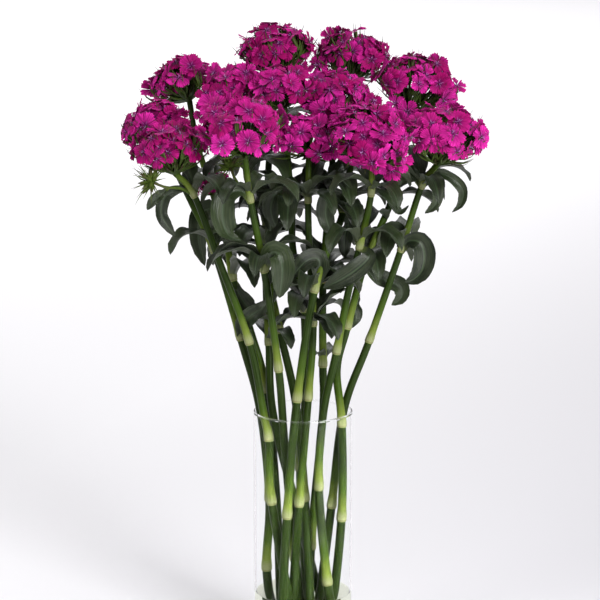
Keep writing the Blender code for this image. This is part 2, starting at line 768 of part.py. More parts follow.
def build_vase():
    inner = VASE_RADIUS - GLASS
    profile = [(0, 0), (VASE_RADIUS - 1.2, 0), (VASE_RADIUS, 1.2), (VASE_RADIUS, VASE_HEIGHT - 0.9),
               (VASE_RADIUS - 0.8, VASE_HEIGHT), (inner + 0.8, VASE_HEIGHT),
               (inner, VASE_HEIGHT - 0.9), (inner, VASE_FLOOR + 3), (inner - 3, VASE_FLOOR),
               (0, VASE_FLOOR)]
    glass = material("clear_glass", (0.96, 0.98, 0.97), 0.02, 1.0)
    return add_object("vase", *turned(profile, 40), glass)


def build_water():
    edge = VASE_RADIUS - GLASS - GAP
    bottom = VASE_FLOOR + GAP
    profile = [(0, bottom), (edge - 3, bottom), (edge, bottom + 3), (edge, WATER_LEVEL),
               (0, WATER_LEVEL)]
    clear = material("water", (0.97, 0.99, 0.98), 0.0, 1.0)
    water = add_object("water", *turned(profile, 40), clear)
    group = bpy.data.collections.new("holes")
    bpy.context.scene.collection.children.link(group)
    for name, spec in STEMS.items():
        hole = add_object("hole_" + name, *stem_hole(spec), clear)
        bpy.context.scene.collection.objects.unlink(hole)
        group.objects.link(hole)
    modifier = water.modifiers.new("holes", "BOOLEAN")
    modifier.operation = "DIFFERENCE"
    modifier.operand_type = "COLLECTION"
    modifier.collection = group
    modifier.solver = "EXACT"
    bpy.context.view_layer.objects.active = water
    bpy.ops.object.modifier_apply(modifier=modifier.name)
    for hole in list(group.objects):
        bpy.data.objects.remove(hole, do_unlink=True)
    bpy.data.collections.remove(group)


def roomy_skirt(name, spec, bracts, trees):
    """The calyx cone with bracts as long as the other heads and stems leave room for."""
    for reach in (1.0, 0.88, 0.76, 0.64):
        piece = skirt(spec, bracts, reach, random.Random(name))
        if not hits(piece, [tree for owner, tree in trees if owner != name]):
            break
    trees.append((name, tree_of(piece)))
    return piece


def plan_plants():
    """Heads, stem tubes, what else grows on each stem, and the leaves as blade values."""
    draw = random.Random(SEED)
    trees = []
    heads = {}
    for name, spec in [*STEMS.items(), ("14", LATE_HEAD)]:
        heads[name] = blossom(spec, draw)
        trees.append(("bloom", tree_of(heads[name])))
    tubes = {name: stem_tube(spec) for name, spec in STEMS.items()}
    trees.extend((name, tree_of(piece)) for name, piece in tubes.items())
    grown = {name: [roomy_skirt(name, spec, 7, trees)] for name, spec in STEMS.items()}
    base, axis, radius = head_place(LATE_HEAD)
    late_stalk = stalk(LATE_STALK + [base - axis * (0.45 * radius)], 1.5)
    trees.append(("03", tree_of(late_stalk)))
    grown["03"] += [late_stalk, roomy_skirt("03", LATE_HEAD, 5, trees)]
    for stem, points, radius in SHOOTS:
        shoot = [stalk(points, 1.4)] + bud_cluster(points, radius, draw)
        trees.extend((stem, tree_of(piece)) for piece in shoot)
        grown[stem] += shoot
    return heads, tubes, grown, all_leaves(trees, draw)


def build_plants():
    green = material("stem_and_leaf_green", (0.05, 0.13, 0.03), 0.45)
    pink = material("petal_magenta", (0.62, 0.01, 0.24), 0.55)
    heads, tubes, grown, leaves = plan_plants()
    for name, head in heads.items():
        add_object("bloom_" + name, *head, pink)
    for stem, spec in leaves:
        grown[stem].append(blade(*spec))
    for name in STEMS:
        fuse("stem_" + name, tubes[name], grown[name], green)


clear_scene()
build_vase()
build_water()
build_plants()
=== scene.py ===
"""Looks of a bunch of sweet william in a glass vase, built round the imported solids.

Lengths are in millimetres and are scaled when a mesh is made. The tables and the search
for room for the leaves are the ones the solids were made with, so that each fine stem,
leaf and blossom grows where its solid stands.
"""
import math
import random

import bmesh
import bpy
from mathutils import Matrix, Vector
from mathutils.bvhtree import BVHTree


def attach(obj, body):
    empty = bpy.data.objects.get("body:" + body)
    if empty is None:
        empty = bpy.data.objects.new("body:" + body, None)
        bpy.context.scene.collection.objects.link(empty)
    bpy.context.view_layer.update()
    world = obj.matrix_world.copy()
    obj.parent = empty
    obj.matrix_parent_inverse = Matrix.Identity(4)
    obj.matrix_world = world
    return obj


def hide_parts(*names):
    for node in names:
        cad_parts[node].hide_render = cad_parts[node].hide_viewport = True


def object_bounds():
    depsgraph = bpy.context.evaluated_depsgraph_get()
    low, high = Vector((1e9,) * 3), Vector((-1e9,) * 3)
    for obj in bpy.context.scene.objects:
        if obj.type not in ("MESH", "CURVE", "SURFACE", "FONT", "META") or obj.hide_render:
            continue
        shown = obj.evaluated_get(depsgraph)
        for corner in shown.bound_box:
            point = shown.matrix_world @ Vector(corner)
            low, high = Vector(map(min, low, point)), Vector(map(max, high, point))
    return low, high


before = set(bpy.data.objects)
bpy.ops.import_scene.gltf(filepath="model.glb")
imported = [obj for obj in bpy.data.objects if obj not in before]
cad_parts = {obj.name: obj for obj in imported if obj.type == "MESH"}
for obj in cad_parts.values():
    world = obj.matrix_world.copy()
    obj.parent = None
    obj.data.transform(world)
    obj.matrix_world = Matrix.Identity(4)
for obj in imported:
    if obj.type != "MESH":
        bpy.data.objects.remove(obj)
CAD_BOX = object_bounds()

MM = 0.001
VASE_RADIUS = 50.0
VASE_HEIGHT = 250.0
GLASS = 2.5
VASE_FLOOR = 6.0
RIM_DEPTH = 2.0
WATER_LEVEL = 61.0
GAP = 0.35
STEM_RADIUS_FOOT = 3.5
STEM_RADIUS_TOP = 2.8
STEM_SIDES = 6
FOOT_HEIGHT = 9.5
JOINT_SWELL = 1.5
BLADE_THICKNESS = 1.5
FLORET_AREA = 540.0
FLORET_RADIUS = 14.0
HEAD_FLATNESS = 0.70
CORE = 0.70
UNDERSIDE = 0.22
HUB = 0.78
# Area of a head's dome over its squared radius, and the radius of the largest small head.
DOME_SHARE = 6.4
SMALL_HEAD = 20
# Three points of each petal lobe: turn in radians, reach, and how far it stands out.
LOBE = ((0.0, 0.60, -0.045), (0.40, 1.0, 0.0), (0.86, 0.97, 0.012))
# Where a leaf has rows of points, as shares of its length, and its width at each.
LEAF_PLACES = (0.0, 0.16, 0.38, 0.62, 0.84)
LEAF_SHARES = (0.34, 0.5, 0.96, 1.0, 0.7)
LEAF_FOLD = 0.28
LEAF_ROOM = 1.1
LEAF_OVER_JOINT = 3.0
# Height of the ring that every stem has just over the water.
DRY_RING = 66.0
SEED = 21

# Each stem: foot (x, y), then points (x, y, z, is it a swollen joint).
# Its head: middle of the blossom, way it leans, lean from upright in degrees, radius.
STEMS = {
    "01": {
        "foot": (-28, 12),
        "path": [(-37, 10, 81, 1), (-34, 5, 155, 1), (-43, 0, 249, 0), (-62, -6, 324, 1),
                 (-88, -8, 413, 1), (-110, 2, 459, 0)],
        "head": (-152, 25, 546), "toward": 165, "lean": 24, "radius": 33,
    },
    "02": {
        "foot": (-6, -12),
        "path": [(-31, -26, 160, 1), (-34, -21, 224, 1), (-39, -19, 249, 0),
                 (-53, -22, 323, 1), (-81, -28, 403, 0), (-106, -36, 473, 1)],
        "head": (-130, -50, 533), "toward": 200, "lean": 10, "radius": 37,
    },
    "03": {
        "foot": (-22, 24),
        "path": [(-27, 20, 151, 0), (-37, 18, 265, 1), (-52, 24, 323, 0), (-70, 30, 377, 1),
                 (-77, 38, 415, 0), (-92, 52, 466, 1), (-107, 68, 510, 0)],
        "head": (-129, 92, 581), "toward": 165, "lean": 26, "radius": 33,
    },
    "04": {
        "foot": (26, 30),
        "path": [(-3, 19, 130, 1), (-30, 4, 244, 0), (-34, 14, 314, 1), (-37, 32, 367, 0),
                 (-37, 46, 426, 1), (-33, 68, 514, 1)],
        "head": (-29, 96, 613), "toward": 150, "lean": 8, "radius": 38,
    },
    "05": {
        "foot": (1, 12),
        "path": [(-8, 2, 93, 1), (-18, -24, 215, 0), (-24, -34, 298, 1), (-38, -46, 400, 1),
                 (-51, -56, 471, 1)],
        "head": (-58, -80, 558), "toward": 262, "lean": 18, "radius": 41,
    },
    "06": {
        "foot": (9, -12),
        "path": [(2, 4, 155, 1), (-7, 12, 252, 0), (-23, 15, 327, 1), (-41, 18, 410, 1),
                 (-55, 26, 480, 1)],
        "head": (-68, 48, 578), "toward": 250, "lean": 10, "radius": 33,
    },
    "07": {
        "foot": (-23, -30),
        "path": [(-16, -36, 148, 1), (-6, -38, 268, 1), (11, -37, 378, 1), (31, -26, 434, 0),
                 (39, -16, 453, 1), (49, 24, 510, 1), (51, 72, 552, 0)],
        "head": (51, 98, 608), "toward": 30, "lean": 8, "radius": 38,
    },
    "08": {
        "foot": (-13, -2),
        "path": [(-4, -22, 157, 1), (5, -27, 267, 1), (10, -25, 342, 1), (6, -22, 421, 0),
                 (5, -24, 465, 1)],
        "head": (5, -30, 538), "toward": 268, "lean": 26, "radius": 31,
    },
    "09": {
        "foot": (6, 34),
        "path": [(-3, 31, 180, 1), (2, 28, 249, 0), (1, 18, 348, 1), (-10, 10, 412, 0),
                 (-11, 4, 452, 1), (-15, 4, 508, 0)],
        "head": (-21, 5, 583), "toward": 250, "lean": 16, "radius": 29,
    },
    "10": {
        "foot": (6, 0),
        "path": [(8, 10, 103, 1), (20, 12, 242, 0), (20, 6, 294, 1), (20, 4, 380, 1),
                 (26, 8, 462, 1), (31, 14, 522, 0)],
        "head": (37, 26, 574), "toward": 285, "lean": 18, "radius": 35,
    },
    "11": {
        "foot": (34, -8),
        "path": [(25, -9, 71, 1), (16, -14, 172, 1), (20, -19, 249, 0), (33, -20, 313, 1),
                 (44, -28, 373, 0), (55, -36, 421, 1), (66, -48, 476, 1)],
        "head": (67, -78, 543), "toward": 272, "lean": 46, "radius": 39,
    },
    "12": {
        "foot": (27, 11),
        "path": [(39, 3, 135, 1), (39, -5, 235, 1), (34, 0, 291, 0), (44, 4, 333, 1),
                 (63, 12, 401, 1), (88, 22, 459, 1), (101, 36, 515, 0)],
        "head": (117, 58, 583), "toward": 345, "lean": 14, "radius": 43,
    },
    "13": {
        "foot": (12, 11),
        "path": [(29, 16, 145, 1), (41, 8, 247, 0), (66, 6, 319, 1), (97, 2, 412, 1),
                 (117, -4, 477, 1)],
        "head": (142, -30, 543), "toward": 330, "lean": 16, "radius": 42,
    },
}

# Leaves that show singly: the stem each grows from, its width, the way its face
# looks at the root and at the tip, and the points along its midrib.
BLADES = [
    ("02", 13, (0, -1, 0.3), (0.5, -1, -0.2),
     [(-106, -36, 473), (-116, -39, 481), (-134, -42, 475), (-139, -42, 458),
      (-133, -42, 445), (-124, -40, 433)]),
    ("01", 20, (-0.3, -1, 0.4), (0, -1, 0),
     [(-88, -8, 413), (-85, 6, 433), (-91, 12, 452), (-102, 11, 446), (-104, 9, 420),
      (-98, 8, 396)]),
    ("05", 24, (0.2, -1, 0.6), (0, -0.6, 1),
     [(-51, -56, 471), (-60, -61, 482), (-74, -66, 477), (-78, -68, 459), (-73, -67, 440),
      (-60, -64, 434)]),
    ("04", 12, (0, -1, 0.8), (0, -1, 1),
     [(-37, 46, 426), (-48, 24, 431), (-62, -4, 431), (-78, -26, 436), (-94, -40, 432)]),
    ("05", 11, (0, -1, 0.6), (0, -1, 0.6),
     [(-38, -46, 400), (-45, -44, 412), (-57, -43, 420), (-70, -42, 426), (-80, -42, 431)]),
    ("03", 18, (0, -1, 0.3), (0.3, -1, 0.6),
     [(-70, 30, 377), (-63, 22, 362), (-54, 16, 351), (-44, 12, 351), (-36, 10, 361)]),
    ("01", 17, (0, -1, -0.3), (0, -1, 0.6),
     [(-62, -6, 324), (-61, -15, 339), (-53, -20, 350), (-42, -20, 357), (-33, -16, 366)]),
    ("05", 24, (0.4, -1, 0.2), (0, -1, 0.1),
     [(-38, -46, 400), (-34, -55, 418), (-24, -62, 421), (-20, -64, 404), (-23, -62, 377)]),
    ("07", 19, (0, -1, 0.2), (0.2, -1, 0.5),
     [(11, -37, 378), (16, -32, 396), (15, -32, 411), (3, -34, 410), (-13, -36, 392)]),
    ("11", 20, (0.3, -1, 0.5), (0.3, -1, 0.4),
     [(55, -36, 421), (65, -48, 416), (51, -50, 402), (35, -46, 391), (20, -42, 383)]),
    ("12", 18, (0, -1, 0.6), (0, -1, 0.4),
     [(63, 12, 401), (69, 17, 386), (84, 20, 378), (97, 22, 372), (99, 22, 361), (89, 22, 353)]),
    ("13", 22, (0.3, -1, 0.4), (-0.2, -1, 0.1),
     [(97, 2, 412), (104, -6, 423), (115, -11, 423), (120, -12, 411), (118, -12, 396),
      (110, -11, 386), (101, -10, 383)]),
    ("13", 16, (0, -1, 0.3), (0.3, -1, 0),
     [(97, 2, 412), (98, 9, 427), (90, 12, 433), (82, 13, 425), (78, 13, 401)]),
    ("12", 16, (0.2, -1, 0.3), (0.2, -1, 0.3),
     [(63, 12, 401), (63, 20, 415), (72, 26, 425), (84, 28, 430)]),
    ("12", 8, (0, -1, 0.5), (0, -1, 1),
     [(88, 22, 459), (85, 10, 466), (90, 4, 456), (98, 2, 451), (105, 2, 458)]),
    ("13", 11, (0, -1, 0.8), (-0.5, -1, 0.3),
     [(117, -4, 477), (125, -7, 489), (136, -9, 491), (149, -11, 485), (158, -11, 474),
      (156, -11, 461), (147, -11, 453)]),
    ("13", 11, (0.4, -1, 0.2), (0, -1, 0.2),
     [(117, -4, 477), (126, -15, 485), (132, -19, 474), (130, -19, 462), (120, -17, 453)]),
    ("13", 17, (0, -1, 0.3), (0.5, -1, 0),
     [(117, -4, 477), (109, 0, 490), (98, 4, 495), (90, 5, 483), (87, 5, 463)]),
    ("07", 19, (-0.2, -1, 0.3), (0, -1, 0),
     [(39, -16, 453), (36, -28, 468), (27, -35, 472), (22, -37, 456), (29, -37, 432)]),
    ("07", 16, (0, -1, 0.3), (0.3, -1, 0),
     [(39, -16, 453), (45, -8, 441), (41, 0, 428), (41, 2, 405)]),
    ("09", 18, (-0.3, -1, 0.3), (0, -1, 0),
     [(-11, 4, 452), (-15, -8, 470), (-26, -15, 474), (-32, -17, 457), (-26, -17, 437)]),
    ("12", 12, (0.3, -1, 0), (0.6, -1, 0),
     [(44, 4, 333), (53, 9, 341), (51, 12, 357), (56, 14, 371)]),
    ("02", 10, (0, -1, 0.4), (0, -1, 0.1),
     [(-131, -55, 484), (-139, -60, 478), (-146, -63, 472), (-151, -64, 464)]),
]

# Other leaf pairs, which fill the bunch: stem, height of the joint, way the pair
# opens, leaf length, leaf width.
PAIRS = [
    ("01", 413, 250, 71, 20), ("02", 473, 300, 71, 20), ("03", 377, 110, 82, 22),
    ("03", 466, 70, 84, 22), ("04", 426, 95, 86, 24), ("04", 514, 60, 71, 20),
    ("05", 400, 200, 65, 19), ("05", 471, 330, 67, 20), ("06", 410, 70, 78, 22),
    ("06", 480, 130, 76, 22), ("07", 510, 40, 76, 20), ("08", 342, 285, 60, 18),
    ("08", 465, 250, 71, 21), ("09", 348, 80, 69, 20), ("09", 452, 100, 80, 22),
    ("10", 294, 60, 45, 16), ("10", 380, 330, 76, 21), ("10", 462, 50, 84, 24),
    ("11", 421, 320, 67, 20), ("11", 476, 215, 60, 19), ("12", 401, 100, 78, 21),
    ("12", 459, 60, 84, 22), ("13", 412, 75, 76, 21), ("13", 477, 105, 69, 19),
    ("04", 426, 10, 71, 20), ("06", 410, 165, 65, 19), ("09", 452, 190, 67, 20),
    ("10", 462, 140, 71, 20), ("12", 459, 150, 69, 20), ("08", 465, 340, 63, 19),
    ("07", 378, 20, 66, 20), ("10", 380, 60, 78, 22), ("09", 348, 170, 70, 20),
    ("05", 400, 20, 74, 21), ("06", 327, 40, 60, 18), ("12", 401, 190, 72, 21),
    ("11", 421, 60, 74, 21), ("08", 342, 15, 66, 19), ("04", 314, 120, 56, 17),
    ("07", 453, 292, 72, 20), ("13", 477, 15, 64, 18), ("04", 514, 150, 72, 19),
    ("07", 510, 130, 70, 18), ("11", 476, 120, 62, 18), ("09", 452, 30, 72, 20),
    ("06", 480, 40, 70, 19), ("12", 459, 105, 76, 20),
]

# Side shoots: stem, points along the stalk, radius of the cluster of closed buds.
SHOOTS = [
    ("02", [(-106, -36, 473), (-119, -44, 482), (-133, -56, 485), (-146, -62, 491)], 10),
    ("05", [(-51, -56, 471), (-60, -54, 484), (-67, -48, 494), (-71, -42, 503)], 9),
]
# A small late blossom low on stem 03: points along its stalk, lean and radius.
LATE_STALK = [(-82, 44, 438), (-83, 36, 450)]
LATE_HEAD = {"head": (-87, 24, 478), "toward": 235, "lean": 30, "radius": 14}

# How much of a reach beyond the solids' box is kept.
OVERREACH = 0.3
FINE_SEED = 5
SHARP_ANGLE = 66

# Fine stems: radius at foot and top, sides, spacing of the rings, and the rings near a joint.
FINE_FOOT = 4.5
FINE_TOP = 2.9
FINE_SIDES = 14
RING_STEP = 6.0
JOINT_RINGS = (-4, -2.5, -1.5, -0.6, 0.4, 1.5, 3.5)
# By the length above a joint: share of the plain radius, and how pale the green is.
KNOB_SWELL = ((-2.0, 0.98), (-0.5, 1.22), (0.6, 1.3), (5, 1.32), (8, 1.2), (15, 1.08),
              (26, 1.02), (28, 1.0))
KNOB_PALENESS = ((-1.5, 0.15), (-0.3, 1.0), (0.5, 0.97), (1.4, 0.88), (6, 0.84), (9, 0.66),
                 (20, 0.48), (36, 0.26), (62, 0.06))
UNDER_KNOB = -2.5
PLAIN_PALENESS = 0.06

# Petals: their number, the shares of their length and width that have points, thickness,
# tilt that laps each over the next, half angles to choose from, and where the claw starts.
PETALS = 5
PETAL_ROWS = (0.0, 0.24, 0.5, 0.76, 1.0)
PETAL_COLUMNS = 12
PETAL_ACROSS = tuple(2 * k / PETAL_COLUMNS - 1 for k in range(PETAL_COLUMNS + 1))
PETAL_THICKNESS = 0.28
PETAL_LAP = 0.56
PETAL_HALF_ANGLES = (29.0, 32.0, 35.0, 38.0)
CLAW = 0.25

# Florets: radius, share of the head each takes, how deep they sit, and the share left out.
FAN_RADIUS = 12.4
FAN_AREA = 285.0
FAN_DEPTH = 0.90
BARE_SHARE = 0.06
# The brightest tint of the heads that are darkened as painted shade, since less light reaches them,
# and florets that stand out in gaps beside a head.
SHADED_HEAD_TINTS = {"02": 0.6, "04": 0.55, "06": 0.7, "07": 0.75, "09": 0.65, "14": 0.5}
STRAGGLERS = {
    "06": ((-96, 30, 566), (-98, 22, 548), (-90, 20, 556)),
    "07": ((14, 88, 588), (22, 84, 576)),
    "04": ((-2, 86, 588),),
    "10": ((70, 20, 560), (62, 4, 548)),
    "11": ((86, -62, 503), (78, -68, 512), (94, -66, 514)),
    "08": ((26, -44, 522), (-22, -40, 526)),
    "12": ((92, 30, 556), (104, 26, 548)),
}
LATE_FINE = {"head": (-88, 8, 481), "toward": 250, "lean": 30, "radius": 15}

# Green parts under the florets: outlines as (share of the length, share of the radius).
CALYX_LENGTH = 15.0
CALYX_RADIUS = 2.3
CALYX_OUTLINE = ((0, 0.45), (0.10, 0.85), (0.45, 1.0), (0.85, 0.92), (1.0, 0.97))
CALYX_PLACES = (0.0, 0.1, 0.35, 0.7, 1.0)
BRACT_RADII = ((0, 0.65), (0.3, 0.95), (1, 0.1))
RUFF_OUTLINE = ((0, 0.5), (0.35, 1.0), (0.7, 0.7), (1, 0.04))
RUFF_ROWS = 8
STAMEN_RADII = ((0, 0.14), (0.7, 0.14), (0.85, 0.42), (1, 0.15))

# Closed buds on the side shoots.
BUD_COUNT = 15
BUD_RADIUS = 2.3
BUD_OUTLINE = ((0, 0.5), (0.2, 0.95), (0.45, 1.0), (0.75, 0.6), (1.0, 0.08))
BUD_PLACES = (0.0, 0.12, 0.3, 0.5, 0.75, 1.0)
NEEDLE_COUNT = 46
NEEDLE_RADII = ((0, 0.6), (0.3, 0.7), (1, 0.08))

# Leaf pairs that only the dressed part has, listed as the other pairs are.
MORE_PAIRS = [
    ("08", 465, 300, 60, 17), ("10", 462, 95, 74, 20), ("05", 471, 60, 64, 18),
    ("04", 426, 55, 74, 20), ("09", 452, 150, 70, 19), ("07", 453, 30, 62, 18),
    ("10", 380, 110, 70, 20), ("08", 342, 60, 60, 18), ("09", 348, 120, 66, 19),
    ("07", 378, 65, 66, 19), ("06", 410, 15, 66, 19), ("05", 400, 80, 62, 18),
    ("06", 480, 85, 66, 18), ("04", 514, 20, 66, 18), ("07", 510, 80, 66, 18),
]
LEAF_THICKNESS = 0.5
LEAF_ROWS = 24
LEAF_COLUMNS = (-1.0, -0.82, -0.55, -0.25, 0.0, 0.25, 0.55, 0.82, 1.0)
LEAF_OUTLINE = ((0.0, 0.34), (0.16, 0.5), (0.38, 0.95), (0.5, 1.0), (0.62, 0.98), (0.75, 0.86),
                (0.86, 0.63), (0.94, 0.36), (1.0, 0.03))

# Colours, as linear red, green and blue.
PETAL_DEEP_A = (0.125, 0.001, 0.042)
PETAL_DEEP_B = (0.18, 0.002, 0.088)
PETAL_BRIGHT_A = (0.36, 0.004, 0.125)
PETAL_BRIGHT_B = (0.80, 0.034, 0.42)
PETAL_VIOLET = (0.15, 0.006, 0.125)
PETAL_STAR = (0.62, 0.30, 0.66)
PETAL_BELOW = (0.30, 0.012, 0.15)
STAMEN_A = (0.34, 0.12, 0.38)
STAMEN_B = (0.55, 0.35, 0.62)
LEAF_DARK = (0.004, 0.008, 0.003)
LEAF_FRESH = (0.016, 0.028, 0.007)
LEAF_VEIN = (0.050, 0.068, 0.026)
LEAF_GREY = (0.062, 0.069, 0.042)
LEAF_RIB = (0.045, 0.072, 0.034)
STEM_DARK = (0.006, 0.013, 0.002)
STEM_MIDDLE = (0.040, 0.076, 0.005)
STEM_FRESH = (0.145, 0.19, 0.028)
STEM_KNOB = (0.25, 0.27, 0.125)
STEM_RING = (0.17, 0.14, 0.055)
STEM_STREAK = (0.06, 0.10, 0.03)
CALYX_DARK = (0.012, 0.028, 0.007)
CALYX_FRESH = (0.10, 0.155, 0.022)
CALYX_MAROON = (0.050, 0.012, 0.016)
GLASS_TONE = (0.99, 0.995, 0.995)
WATER_TONE = (0.85, 0.87, 0.74)
# Floor tones: pale at its far left, and darker towards its near right as painted shade.
FLOOR_LIGHT = (0.915, 0.905, 0.925)
FLOOR_PAINTED_SHADE = (0.73, 0.72, 0.75)

# Strength of the surroundings from their foot to their top.
SKY_LOW = 0.28
SKY_HIGH = 0.58
SKY_TONE = (0.99, 0.985, 1.0)
# Soft lights in metres and watts: place, point they face, width, height, power.
LIGHTS = {
    "key": ((1.15, -2.1, 1.35), (0, 0, 0.45), 0.8, 1.4, 67.0),
    "fill": ((-1.7, -1.4, 1.8), (0, 0, 0.42), 0.9, 1.2, 14.0),
    "back_left": ((-1.8, 5.2, 3.6), (-1.8, 5.2, 0), 7.0, 6.0, 235.0),
    "side_strip": ((0.30, -0.32, 0.2), (0, 0, 0.16), 0.10, 0.4, 0.8),
}
CAMERA_PLACE = (-0.003, -2.8, 0.912)
CAMERA_DOWN = 11.1
CAMERA_LENS = 171.66
FLOOR_HALF = 14.0


def curve_through(points, pieces=24):
    """A smooth dense line through the points, and the index of each point on it."""
    line = []
    marks = []
    last = len(points) - 1
    for i in range(last):
        a = points[max(i - 1, 0)]
        b = points[i]
        c = points[i + 1]
        d = points[min(i + 2, last)]
        marks.append(len(line))
        for k in range(pieces):
            t = k / pieces
            line.append(0.5 * (2 * b + (c - a) * t + (2 * a - 5 * b + 4 * c - d) * t * t
                               + (3 * b - a - 3 * c + d) * t ** 3))
    marks.append(len(line))
    line.append(points[last].copy())
    return line, marks


def lengths_along(line):
    total = [0.0]
    for a, b in zip(line, line[1:]):
        total.append(total[-1] + (b - a).length)
    return total


def bent_line(points, pieces=8):
    """The smooth line through the points, and the lengths along it."""
    line, _ = curve_through([Vector(p) for p in points], pieces)
    return line, lengths_along(line)


def at_length(line, total, s):
    """Point and heading of the line at the length s from its start."""
    s = min(max(s, 0.0), total[-1])
    for i in range(len(line) - 1):
        if total[i + 1] >= s:
            step = line[i + 1] - line[i]
            share = (s - total[i]) / max(total[i + 1] - total[i], 1e-6)
            return line[i] + step * share, step.normalized()
    return line[-1].copy(), (line[-1] - line[-2]).normalized()


def tube(centres, headings, radii, sides):
    """Closed tube: rings of points carried along without twist."""
    across = headings[0].cross(Vector((0.31, 0.95, 0.05))).normalized()
    points = []
    for centre, heading, radius in zip(centres, headings, radii):
        across = (across - heading * across.dot(heading)).normalized()
        other = heading.cross(across)
        for k in range(sides):
            angle = 2 * math.pi * k / sides
            points.append(centre + across * (radius * math.cos(angle))
                          + other * (radius * math.sin(angle)))
    faces = [tuple(reversed(range(sides)))]
    for i in range(len(centres) - 1):
        for k in range(sides):
            n = (k + 1) % sides
            a = i * sides
            b = a + sides
            faces.append((a + k, a + n, b + n, b + k))
    top = (len(centres) - 1) * sides
    faces.append(tuple(top + k for k in range(sides)))
    return points, faces


def lean_axis(toward, lean):
    turn = math.radians(toward)
    tilt = math.radians(lean)
    return Vector((math.sin(tilt) * math.cos(turn), math.sin(tilt) * math.sin(turn),
                   math.cos(tilt)))


def head_place(spec):
    """Middle of the blossom's base plane, its axis and its radius."""
    axis = lean_axis(spec["toward"], spec["lean"])
    radius = spec["radius"]
    return Vector(spec["head"]) - axis * (0.27 * radius), axis, radius


def stem_line(spec):
    base, axis, radius = head_place(spec)
    foot = Vector((*spec["foot"], FOOT_HEIGHT))
    points = [foot] + [Vector(p[:3]) for p in spec["path"]]
    joints = [False] + [bool(p[3]) for p in spec["path"]]
    points.append(base - axis * (0.72 * radius))
    joints.append(False)
    line, marks = curve_through(points)
    total = lengths_along(line)
    return line, total, [total[m] for m, joint in zip(marks, joints) if joint]


def stem_rings(spec):
    """Where the stem has rings: length from the foot, and share of the plain radius."""
    line, total, joints = stem_line(spec)
    rings = {0.0: 1.0, total[-1]: 0.95}
    for s in joints:
        for offset, share in ((-4, 0.95), (1, JOINT_SWELL), (26, 1.0)):
            if 2 < s + offset < total[-1] - 3:
                rings[s + offset] = share
    places = sorted(rings)
    for a, b in zip(places, places[1:]):
        extra = int((b - a) // 62)
        for k in range(extra):
            rings[a + (b - a) * (k + 1) / (extra + 1)] = 1.0
    for s in list(rings):
        point, _ = at_length(line, total, s)
        if WATER_LEVEL - 12 < point.z < WATER_LEVEL + 4 and rings[s] == 1.0 and s > 1:
            del rings[s]
    rings[DRY_RING - FOOT_HEIGHT] = 1.0
    return line, total, sorted(rings.items())


def plain_radius(s, whole):
    return STEM_RADIUS_FOOT + (STEM_RADIUS_TOP - STEM_RADIUS_FOOT) * s / whole


def stem_tube(spec):
    line, total, rings = stem_rings(spec)
    places = [at_length(line, total, s) for s, _ in rings]
    radii = [plain_radius(s, total[-1]) * share for s, share in rings]
    return tube(*zip(*places), radii, STEM_SIDES)


def cross_frame(axis):
    """Two directions square to the axis and to each other."""
    side = axis.cross(Vector((0.2, 0.9, 0.38))).normalized()
    return side, axis.cross(side)


def facing(axis):
    """Matrix that turns the upright onto the axis."""
    side, other = cross_frame(axis)
    return Matrix((side, other, axis)).transposed()


def around(first, second, angle):
    return first * math.cos(angle) + second * math.sin(angle)


def skirt(spec, bracts, reach, draw):
    """Green calyx cone under a head, flat under the blossom, with bracts that stand out."""
    base, axis, radius = head_place(spec)
    side, other = cross_frame(axis)

    def out(k):
        return around(side, other, 2 * math.pi * k / bracts)

    low = [base - axis * (HUB * radius) + out(k) * (0.09 * radius) for k in range(bracts)]
    top = [base - axis * (UNDERSIDE * radius + GAP + 0.1) + out(k) * (0.5 * radius)
           for k in range(bracts)]
    tips = [base - axis * (draw.uniform(0.44, 0.6) * radius)
            + out(k + 0.5) * (draw.uniform(0.8, 1.0) * reach * radius) for k in range(bracts)]
    faces = [tuple(reversed(range(bracts))), tuple(bracts + k for k in range(bracts))]
    for k in range(bracts):
        n = (k + 1) % bracts
        tip = 2 * bracts + k
        faces.append((k, n, tip))
        faces.append((n, bracts + n, tip))
        faces.append((bracts + n, bracts + k, tip))
        faces.append((bracts + k, k, tip))
    return low + top + tips, faces


def spike(root, way, length, width, droop):
    """Three-sided needle with a slight bend."""
    side, other = cross_frame(way)
    middle = root + way * (length * 0.5) + Vector((0, 0, -droop * 0.3))
    tip = root + way * length + Vector((0, 0, -droop))
    points = []
    for centre, share in ((root, 1.0), (middle, 0.8)):
        for k in range(3):
            angle = 2 * math.pi * k / 3
            points.append(centre + side * (width * share * math.cos(angle))
                          + other * (width * share * math.sin(angle)))
    points.append(tip)
    faces = [(2, 1, 0)]
    for k in range(3):
        n = (k + 1) % 3
        faces.append((k, n, 3 + n, 3 + k))
        faces.append((3 + k, 3 + n, 6))
    return points, faces


def blade(points, width, face_root, face_tip, wave, extra=0.0):
    """Leaf with a folded midrib: a closed thin solid, pointed at the tip."""
    line, total = bent_line(points, 12)
    solid = []
    thick = BLADE_THICKNESS + extra
    for t, share in zip(LEAF_PLACES, LEAF_SHARES):
        centre, heading = at_length(line, total, t * total[-1])
        face = Vector(face_root).lerp(Vector(face_tip), t)
        side = heading.cross(face).normalized()
        up = side.cross(heading).normalized()
        half = 0.5 * width * share + extra * 0.5
        lift = LEAF_FOLD * half
        ripple = wave * share * math.sin(t * 11.0)
        solid.append(centre - side * half + up * (lift + ripple))
        solid.append(centre + up * (thick * 0.5))
        solid.append(centre + side * half + up * (lift - ripple))
        solid.append(centre - up * (thick * 0.5))
    tip, _ = at_length(line, total, total[-1])
    solid.append(tip)
    faces = [(0, 1, 2), (0, 2, 3)]
    last = len(LEAF_PLACES) - 1
    for i in range(last):
        a = 4 * i
        b = a + 4
        for left, right in ((0, 1), (2, 1), (0, 3), (2, 3)):
            faces.append((a + left, a + right, b + right))
            faces.append((a + left, b + right, b + left))
    a = 4 * last
    end = a + 4
    for k in range(4):
        faces.append((a + k, a + (k + 1) % 4, end))
    return solid, faces


